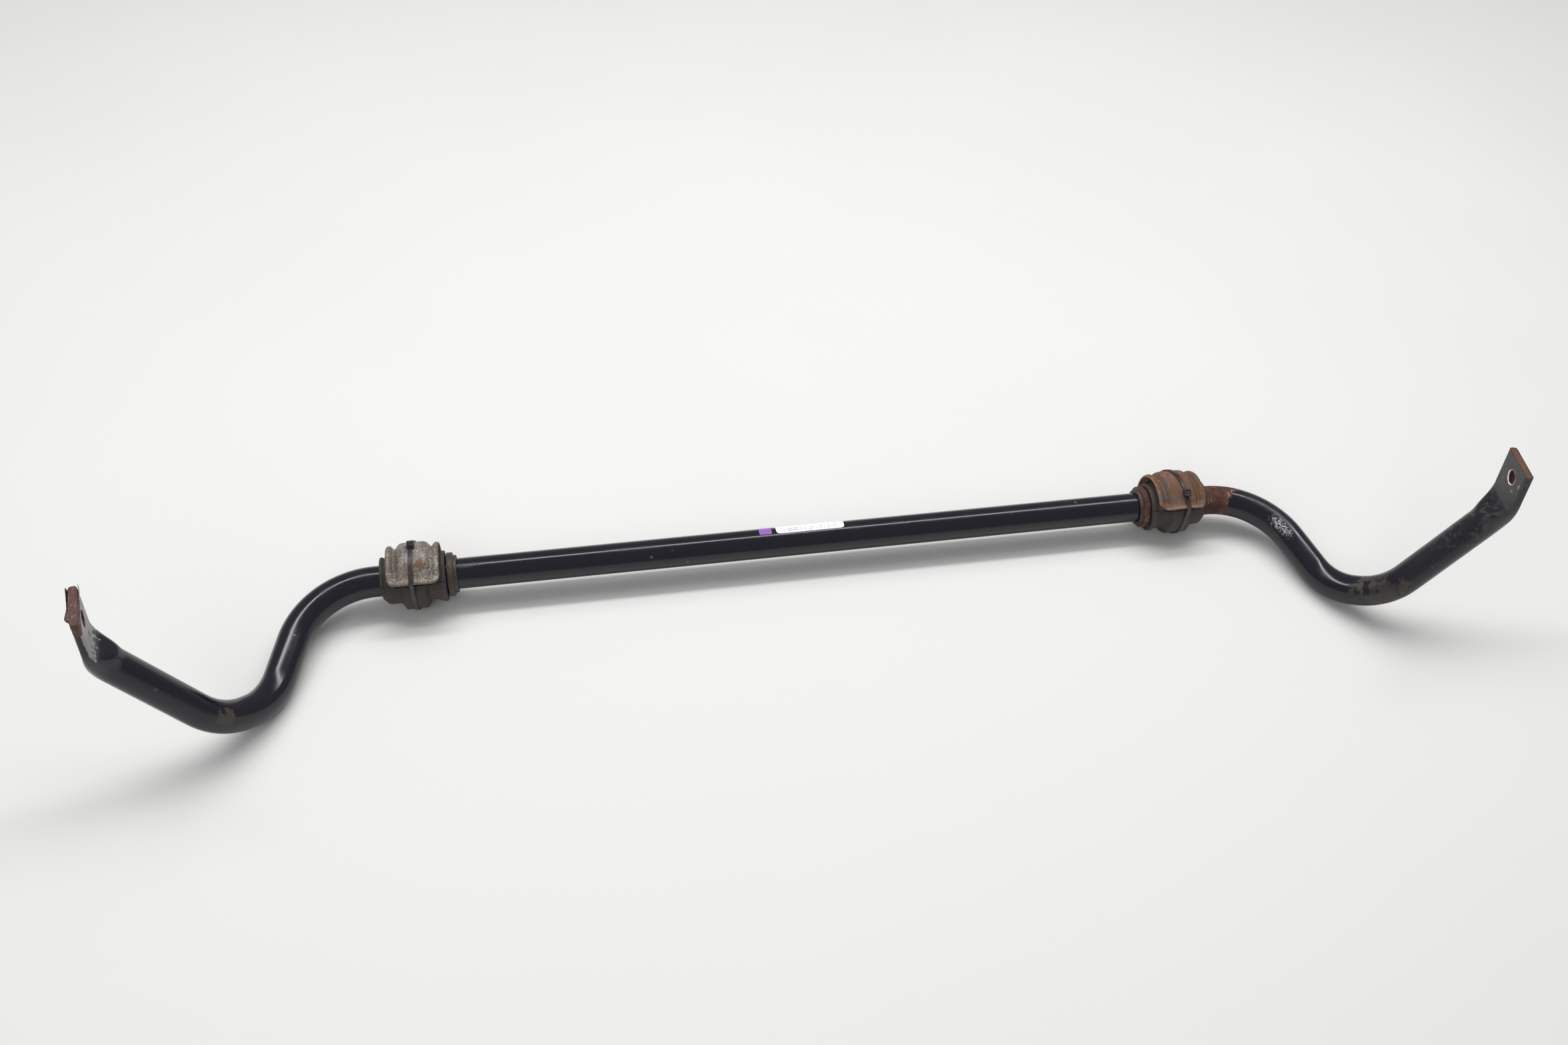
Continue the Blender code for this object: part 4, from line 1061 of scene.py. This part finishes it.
def clamp_outer(side):
    """Outer surface of a clamp: its section round the crown, turned out at both edges.

    The radius rises by the square of the way into the edge run, and the section is drawn in
    along a quarter circle to round the corners. Small waves stand for dents.
    """
    along, section = clamp_line().T
    end = along.max()
    half_angle = math.radians(80.6)
    run = math.radians(10.5)
    corner = 6.0 * MM
    t = np.linspace(-1.0, 1.0, 141)
    angles = (np.sign(t) * (1 - (1 - np.abs(t)) ** 1.25) * half_angle)[:, None]
    lift = np.clip((np.abs(angles) - half_angle + run) / run, 0.0, 1.0) ** 2
    radius = section + (CLAMP_EDGE - section) * lift
    into = np.clip(corner - (half_angle - np.abs(angles)) * CLAMP_EDGE, 0.0, corner)
    x = along * ((end - corner + quarter_round(corner, into)) / end)
    grid = np.stack([x, -radius * np.sin(angles), radius * np.cos(angles)], axis=-1)
    grid[..., 1:] *= (1 + 0.006 * waves(grid, 40 + len(side), 130.0))[..., None]
    return grid


def quarter_round(radius, into):
    """Height of a quarter circle at a depth into it: the root of r^2 - d^2, never quite 0."""
    return np.sqrt(radius ** 2 - into ** 2 + 1e-12)


def surface_normals(grid):
    """Unit normals of a grid of points, away from the X axis."""
    normal = unit(np.cross(np.gradient(grid, axis=1), np.gradient(grid, axis=0)))
    away = (normal * grid * np.array([0.0, 1.0, 1.0])).sum(axis=-1)
    return normal * np.sign(away)[..., None]


def border_loop(rows, columns):
    """Indices of the points on a grid's border, in order round it."""
    i, j = np.arange(rows), np.arange(columns)
    return np.concatenate([i * columns, (rows - 1) * columns + j[1:], i[-2::-1] * columns + columns - 1,
                           j[-2:0:-1]])


def closed_sheet(outer, inner, edge=()):
    """Vertices and faces of two grids of points, joined round their borders by way of any edge rings."""
    rows, columns = outer.shape[:2]
    count = rows * columns
    loop = border_loop(rows, columns)
    between = [2 * count + k * len(loop) + np.arange(len(loop)) for k in range(len(edge))]
    rings = [loop, *between, loop + count]
    faces = [grid_quads(rows, columns), grid_quads(rows, columns, start=count)[:, ::-1]]
    faces += [np.stack([np.roll(a, -1), np.roll(b, -1), b, a], axis=1) for a, b in zip(rings, rings[1:])]
    vertices = np.concatenate([np.reshape(part, (-1, 3)) for part in (outer, inner, edge)])
    return vertices, np.concatenate(faces)


def sheet_with_round_edge(outer, thickness, steps=5):
    """A sheet: the outer grid, its copy one thickness inside, and a half-round edge between them.

    The edge is c + (n cos(phi) + o sin(phi)) thickness / 2, with c half way through the sheet, n
    its normal and o the direction out of its border.
    """
    normals = surface_normals(outer)
    loop = border_loop(*outer.shape[:2])
    border, across = outer.reshape(-1, 3)[loop], normals.reshape(-1, 3)[loop]
    outward = unit(np.cross(unit(np.roll(border, -1, axis=0) - np.roll(border, 1, axis=0)), across))
    inside_point = border * np.array([0.8, 1.0, 1.0]) + (outer.mean(axis=(0, 1)) - border) * 0.05
    outward *= np.sign(((border - inside_point) * outward).sum(axis=1))[:, None]
    phi = (np.arange(1, steps) / steps * math.pi)[:, None, None]
    half = thickness / 2
    edge = border - across * half + across * np.cos(phi) * half + outward * np.sin(phi) * half
    return closed_sheet(outer, outer - normals * thickness, edge)


def make_clamp(side, finish, slot_name):
    """A stamped saddle clamp with rounded edges, a rust spot and worn edges."""
    vertices, faces = sheet_with_round_edge(clamp_outer(side), sizes().clamp_thickness)
    spot = np.array([-8.0 * MM, -math.sin(0.98) * 30 * MM, math.cos(0.98) * 30 * MM])
    rust = 0.75 * near(vertices, spot, 11 * MM)
    rust += 0.30 * smooth(waves(vertices, 77, 110.0), 0.0, 0.6)
    radius = np.linalg.norm(vertices[:, 1:], axis=1)
    edge = smooth(np.abs(vertices[:, 0]), 19.5 * MM, 21.5 * MM)
    edge += smooth(radius, CLAMP_EDGE - 1.2 * MM, CLAMP_EDGE)
    marks = {"rust": np.clip(rust, 0, 1), "edge": np.clip(edge, 0, 1) * 0.8}
    item = piece(f"{side}_clamp_finish", on_mount(side, vertices), faces, finish, sharp=60.0, marks=marks)
    settle(item, f"{side}_mount", slot_name, f"{side}_clamp")


def tie_line():
    """Inner line of a tight strap: over the crown, off the clamp's edges, round the bulge.

    It follows the crown's circle, leaves it along a tangent to the clamp's edge, and from the
    edge runs along a tangent to the circle of the bulge. Its corners are softened outwards only.
    """
    bulge, edge = 25.98 * MM, 33.2 * MM
    edge_angle = math.radians(82.0)
    off = edge_angle - math.acos(TIE_CROWN / edge)
    onto = edge_angle + math.acos(bulge / edge)
    top = np.linspace(-off, off, 40)
    bottom = np.linspace(onto, 2 * math.pi - onto, 40)
    angle = np.concatenate([top, [edge_angle], bottom, [-edge_angle]])
    radius = np.concatenate([np.full(40, TIE_CROWN), [edge], np.full(40, bulge), [edge]])
    line = dense_loop(np.stack([-radius * np.sin(angle), radius * np.cos(angle)], axis=1), 1.2 * MM)
    soft = line
    for _ in range(3):
        soft = (np.roll(soft, 1, axis=0) + 2 * soft + np.roll(soft, -1, axis=0)) / 4
    further = np.linalg.norm(soft, axis=1, keepdims=True) > np.linalg.norm(line, axis=1, keepdims=True)
    return np.where(further, soft, line)


def strap_grid(slant):
    """The strap: a rounded strip section carried round its line, wandering along X by the slant."""
    line = tie_line()
    tangent = unit(np.roll(line, -1, axis=0) - np.roll(line, 1, axis=0))
    normal = np.stack([tangent[:, 1], -tangent[:, 0]], axis=1)
    normal *= np.sign((normal * line).sum(axis=1))[:, None]
    x = slant * np.sin(np.arctan2(-line[:, 0], line[:, 1]))
    w, t = sizes().tie_width / 2, sizes().tie_thickness
    section = rounded_profile([(-w, 0.0), (w, 0.0), (w, t), (-w, t)], 0.35 * MM, 3, closed=True)
    rise = line[:, None] + normal[:, None] * section[None, :, 1, None]
    return np.stack([x[:, None] + section[None, :, 0], rise[..., 0], rise[..., 1]], axis=-1)


def head_rings():
    """The tie's head as nested rounded rectangles: up its sides, over its top, down its window.

    A ring is x = a sgn(cos) |cos|^(2/n), y = b sgn(sin) |sin|^(2/n), so a larger n is squarer.
    """
    size = np.array([4.8 * MM, 3.1 * MM, 3.2 * MM])
    levels = np.array([(0.0, 0.92, 0.92), (0.35, 1.0, 1.0), (0.9, 1.0, 1.0), (0.97, 0.97, 0.97),
                       (1.0, 0.90, 0.90), (1.0, 0.66, 0.56), (0.96, 0.60, 0.48), (0.72, 0.58, 0.45),
                       (0.70, 0.50, 0.36), (0.70, 0.02, 0.02)])
    height, a, b = (levels * size).T[..., None]
    angle = (np.arange(HEAD_SIDES) + 0.5) / HEAD_SIDES * 2 * math.pi
    x = a * signed_power(np.cos(angle), 2 / 6.0)
    y = b * signed_power(np.sin(angle), 2 / 6.0)
    return np.stack([x, y, np.broadcast_to(height, x.shape)], axis=-1)


def make_tie(side, finish, slant, head_angle):
    """A cable tie: the strap and its head, in one piece."""
    strap = strap_grid(slant)
    rows, columns = strap.shape[:2]
    rings = head_rings()
    c, s = math.cos(head_angle), math.sin(head_angle)
    radial = rings[..., 2] + TIE_CROWN
    head = np.stack([rings[..., 0] + slant * s, rings[..., 1] * c - radial * s,
                     rings[..., 1] * s + radial * c], axis=-1)
    faces = [*grid_quads(rows, columns, wrap_rows=True, wrap_columns=True),
             *capped_quads(len(rings), HEAD_SIDES, start=rows * columns)]
    vertices = np.concatenate([strap.reshape(-1, 3), head.reshape(-1, 3)])
    item = piece(f"{side}_tie_finish", on_mount(side, vertices), faces, finish, sharp=45.0)
    settle(item, f"{side}_mount", "black_nylon", f"{side}_tie")


def make_sticker(name, node, finish, slot_name, top, corner, rows=()):
    """A thin film on the tube, with rows of print at their angles from the top of the tube.

    Its ends come from its frame node. It reaches round the tube up to its top angle, where its
    two corners are drawn in along quarter circles.
    """
    (first, *_), (last, *_) = frame_box(node)
    radius = sizes().tube_radius + 0.12 * MM
    start, stop = math.radians(-76.0), math.radians(top)
    u = np.linspace(-1.0, 1.0, 61)
    v = np.linspace(start, stop, 41)[:, None]
    into = np.clip(corner - (stop - v) * radius, 0.0, corner)
    x = (last + first) / 2 + u * ((last - first) / 2 - corner + quarter_round(corner, into))
    angle = np.broadcast_to(v, x.shape)
    outer = np.stack([x, -np.sin(angle) * radius, np.cos(angle) * radius], axis=-1)
    vertices, faces = closed_sheet(outer, outer * np.array([1.0, 0.99, 0.99]))
    print_row = np.zeros(x.shape)
    for place in rows:
        print_row = np.maximum(print_row, fade(np.abs(angle - math.radians(place)), 0.035, 0.075))
    print_row = print_row * band(x, (first + 4 * MM, first + 5 * MM), (last - 6 * MM, last - 5 * MM))
    marks = {"print_row": np.append(print_row, np.zeros(x.shape))}
    item = piece(name, vertices + AXIS, faces, finish, marks=marks)
    corner_index = np.empty(len(item.data.loops), dtype=np.int64)
    item.data.loops.foreach_get("vertex_index", corner_index)
    uv = np.stack([(x - first) / (last - first), (angle - start) / (stop - start)], -1).reshape(-1, 2)
    uv = np.concatenate([uv, uv])[corner_index]
    item.data.uv_layers.new(name="print").data.foreach_set("uv", uv.astype(np.float32).ravel())
    settle(item, "bar", slot_name, node)


# ---------------------------------------------------------------- operators

FLOOR_REACH = 4.0
WORLD_COLOUR, WORLD_STRENGTH = (0.95, 0.97, 1.0, 1.0), 0.30
CAMERA_PLACE = (-0.2202, -0.7907, 0.9595)
CAMERA_TURN = (43.825, -2.771, -10.163)
CAMERA_LENS, CAMERA_SENSOR = 33.673, 36.0


class SWAYBAR_OT_stage(bpy.types.Operator):
    """Floor, soft lights and the camera"""
    bl_idname = "swaybar.stage"
    bl_label = "Stage"

    def execute(self, context):
        """A pale floor under soft overhead light, seen from the front and above."""
        tree, where = new_finish("plain_floor")
        tone = tree.noise(where, 2.5, 3.0)
        c = np.array(colours().floor)
        color = tree.mix(tone, tuple(c * 0.97), tuple(c))
        finish = tree.shade(Base_Color=color, Roughness=tree.step(tone, 0.3, 0.7, 0.55, 0.65))
        extent = np.linspace(-FLOOR_REACH, FLOOR_REACH, 9)
        x, y = np.meshgrid(extent, extent)
        floor = bpy.data.meshes.new("floor")
        floor.from_pydata(np.stack([x, y, x * 0.0], axis=-1).reshape(-1, 3).tolist(), [],
                          grid_quads(9, 9).tolist())
        floor.materials.append(finish)
        item = bpy.data.objects.new("floor", floor)
        context.collection.objects.link(item)
        world = bpy.data.worlds.new("studio")
        world.use_nodes = True
        background = world.node_tree.nodes["Background"]
        background.inputs["Color"].default_value = WORLD_COLOUR
        background.inputs["Strength"].default_value = WORLD_STRENGTH
        context.scene.world = world
        add_light("strip", (0.0, 0.62, 1.75), (0.0, 0.06, 0.0), (3.2, 0.20), 22.0)
        add_light("soft_box", (0.2, 0.9, 2.6), (0.0, 0.0, 0.0), (3.0, 2.0), 44.0, seen=False)
        add_light("front_fill", (-1.2, -2.2, 2.0), (0.0, 0.0, 0.0), (2.0, 1.6), 24.0, seen=False)
        context.scene.view_settings.view_transform = "Standard"
        camera = bpy.data.cameras.new("camera")
        camera.lens = CAMERA_LENS
        camera.sensor_width = CAMERA_SENSOR
        view = bpy.data.objects.new("camera", camera)
        view.location = CAMERA_PLACE
        view.rotation_euler = tuple(math.radians(angle) for angle in CAMERA_TURN)
        context.collection.objects.link(view)
        context.scene.camera = view
        return {"FINISHED"}


def add_light(name, place, target, size, power, seen=True):
    """A rectangular soft light aimed at a point, which shows in reflections if it is seen."""
    light = bpy.data.lights.new(name, "AREA")
    light.shape = "RECTANGLE"
    light.size, light.size_y = size
    light.energy = power
    item = bpy.data.objects.new(name, light)
    item.location = place
    item.visible_glossy = seen
    aim = np.array(target) - np.array(place)
    item.rotation_euler = (math.atan2(math.hypot(aim[0], aim[1]), -aim[2]), 0.0,
                           math.atan2(aim[1], aim[0]) - math.pi / 2)
    bpy.context.collection.objects.link(item)


class SWAYBAR_OT_bar(bpy.types.Operator):
    """The bent tube with its flattened and drilled eyes"""
    bl_idname = "swaybar.bar"
    bl_label = "Bar"

    def execute(self, context):
        """The tube's surface, cut by the two link holes."""
        item = bar_mesh(paint_finish())
        for side in SIDES:
            centre, axis = to_side(side, EYE_HOLE), to_side(side, EYE_OUTWARD)
            cut_away(item, round_cutter(centre, axis, sizes().hole_radius, HOLE_REACH))
        rust_and_glint_holes(item)
        settle(item, "bar", "black_paint", "stabilizer_bar")
        return {"FINISHED"}


class SWAYBAR_OT_eye_rust(bpy.types.Operator):
    """Rust and lifted paint on the left cut end"""
    bl_idname = "swaybar.eye_rust"
    bl_label = "Left eye rust"

    def execute(self, context):
        """A swollen block of rust between two blades of paint."""
        make_rust_block(scale_finish())
        make_sliver("left_outer_sliver", blade_finish("dark_blade", (0.020, 0.019, 0.020), 0.4),
                    -5.0 * MM, 18.6 * MM, 3.4 * MM, 3.7 * MM, 0.7 * MM)
        make_sliver("left_inner_sliver", blade_finish("pale_blade", (0.30, 0.31, 0.30), 0.6),
                    5.0 * MM, 19.0 * MM, 3.6 * MM, -3.7 * MM, -0.3 * MM)
        return {"FINISHED"}


class SWAYBAR_OT_rings(bpy.types.Operator):
    """The two stop rings"""
    bl_idname = "swaybar.rings"
    bl_label = "Stop rings"

    def execute(self, context):
        """One ring inboard of each bush."""
        finish = ring_finish()
        for side in SIDES:
            make_ring(side, finish)
        return {"FINISHED"}


class SWAYBAR_OT_bushes(bpy.types.Operator):
    """The split rubber bushes and their inserts"""
    bl_idname = "swaybar.bushes"
    bl_label = "Bushes"

    def execute(self, context):
        """Two halves on each side; the frame's inserts stay inside them."""
        insert = steel_finish("insert_steel", 0.4, 0.45)
        for side, dusty in (("left", 0.30), ("right", 0.42)):
            make_bush(side, rubber_finish(f"{side}_rubber", dusty))
            for half in ("upper", "lower"):
                frame_node_finish(f"{side}_insert_{half}", insert)
        return {"FINISHED"}


class SWAYBAR_OT_clamps(bpy.types.Operator):
    """The two saddle clamps"""
    bl_idname = "swaybar.clamps"
    bl_label = "Saddle clamps"

    def execute(self, context):
        """Worn plating on the left, rust on the right."""
        make_clamp("left", zinc_finish(), "worn_zinc")
        make_clamp("right", rusty_plate_finish(), "rusty_steel")
        return {"FINISHED"}


class SWAYBAR_OT_ties(bpy.types.Operator):
    """The cable ties and their barbs"""
    bl_idname = "swaybar.ties"
    bl_label = "Cable ties"

    def execute(self, context):
        """One tie round each mount; the frame's barbs stay in their windows."""
        finish = nylon_finish()
        barb = steel_finish("barb_steel", 0.75, 0.25)
        make_tie("left", finish, 1.4 * MM, math.radians(16.0))
        make_tie("right", finish, 3.2 * MM, math.radians(59.0))
        for side in SIDES:
            frame_node_finish(f"{side}_tie_barb", barb)
        return {"FINISHED"}


class SWAYBAR_OT_stickers(bpy.types.Operator):
    """The label and the colour patch"""
    bl_idname = "swaybar.stickers"
    bl_label = "Stickers"

    def execute(self, context):
        """A white film with plain dashes and a purple patch beside it."""
        c = colours()
        make_sticker("label_finish", "label", sticker_finish("label_film", c.label, True),
                     "white_label", 8.0, 3.0 * MM, rows=(-3.0, -14.0))
        make_sticker("colour_patch_finish", "colour_patch", sticker_finish("patch_film", c.patch, False),
                     "purple_patch", 6.0, 1.2 * MM)
        return {"FINISHED"}


class SWAYBAR_PT_panel(bpy.types.Panel):
    """Lists the steps in the sidebar"""
    bl_idname = "SWAYBAR_PT_panel"
    bl_label = "Sway Bar"
    bl_space_type = "VIEW_3D"
    bl_region_type = "UI"
    bl_category = "Sway Bar"

    def draw(self, context):
        """One button for each step."""
        for step in STEPS:
            self.layout.operator(step.bl_idname)


STEPS = (SWAYBAR_OT_stage, SWAYBAR_OT_bar, SWAYBAR_OT_eye_rust, SWAYBAR_OT_rings, SWAYBAR_OT_bushes,
         SWAYBAR_OT_clamps, SWAYBAR_OT_ties, SWAYBAR_OT_stickers)
CLASSES = (SwayBarSizes, SwayBarColours, *STEPS, SWAYBAR_PT_panel)


def register():
    """Add the classes and the two groups of settings."""
    for item in CLASSES:
        bpy.utils.register_class(item)
    bpy.types.Scene.sway_bar_sizes = PointerProperty(type=SwayBarSizes)
    bpy.types.Scene.sway_bar_colours = PointerProperty(type=SwayBarColours)


def unregister():
    """Remove them again."""
    del bpy.types.Scene.sway_bar_colours
    del bpy.types.Scene.sway_bar_sizes
    for item in reversed(CLASSES):
        bpy.utils.unregister_class(item)


def main():
    """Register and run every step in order."""
    register()
    bpy.ops.swaybar.stage()
    bpy.ops.swaybar.bar()
    bpy.ops.swaybar.eye_rust()
    bpy.ops.swaybar.rings()
    bpy.ops.swaybar.bushes()
    bpy.ops.swaybar.clamps()
    bpy.ops.swaybar.ties()
    bpy.ops.swaybar.stickers()


if __name__ == "__main__":
    main()
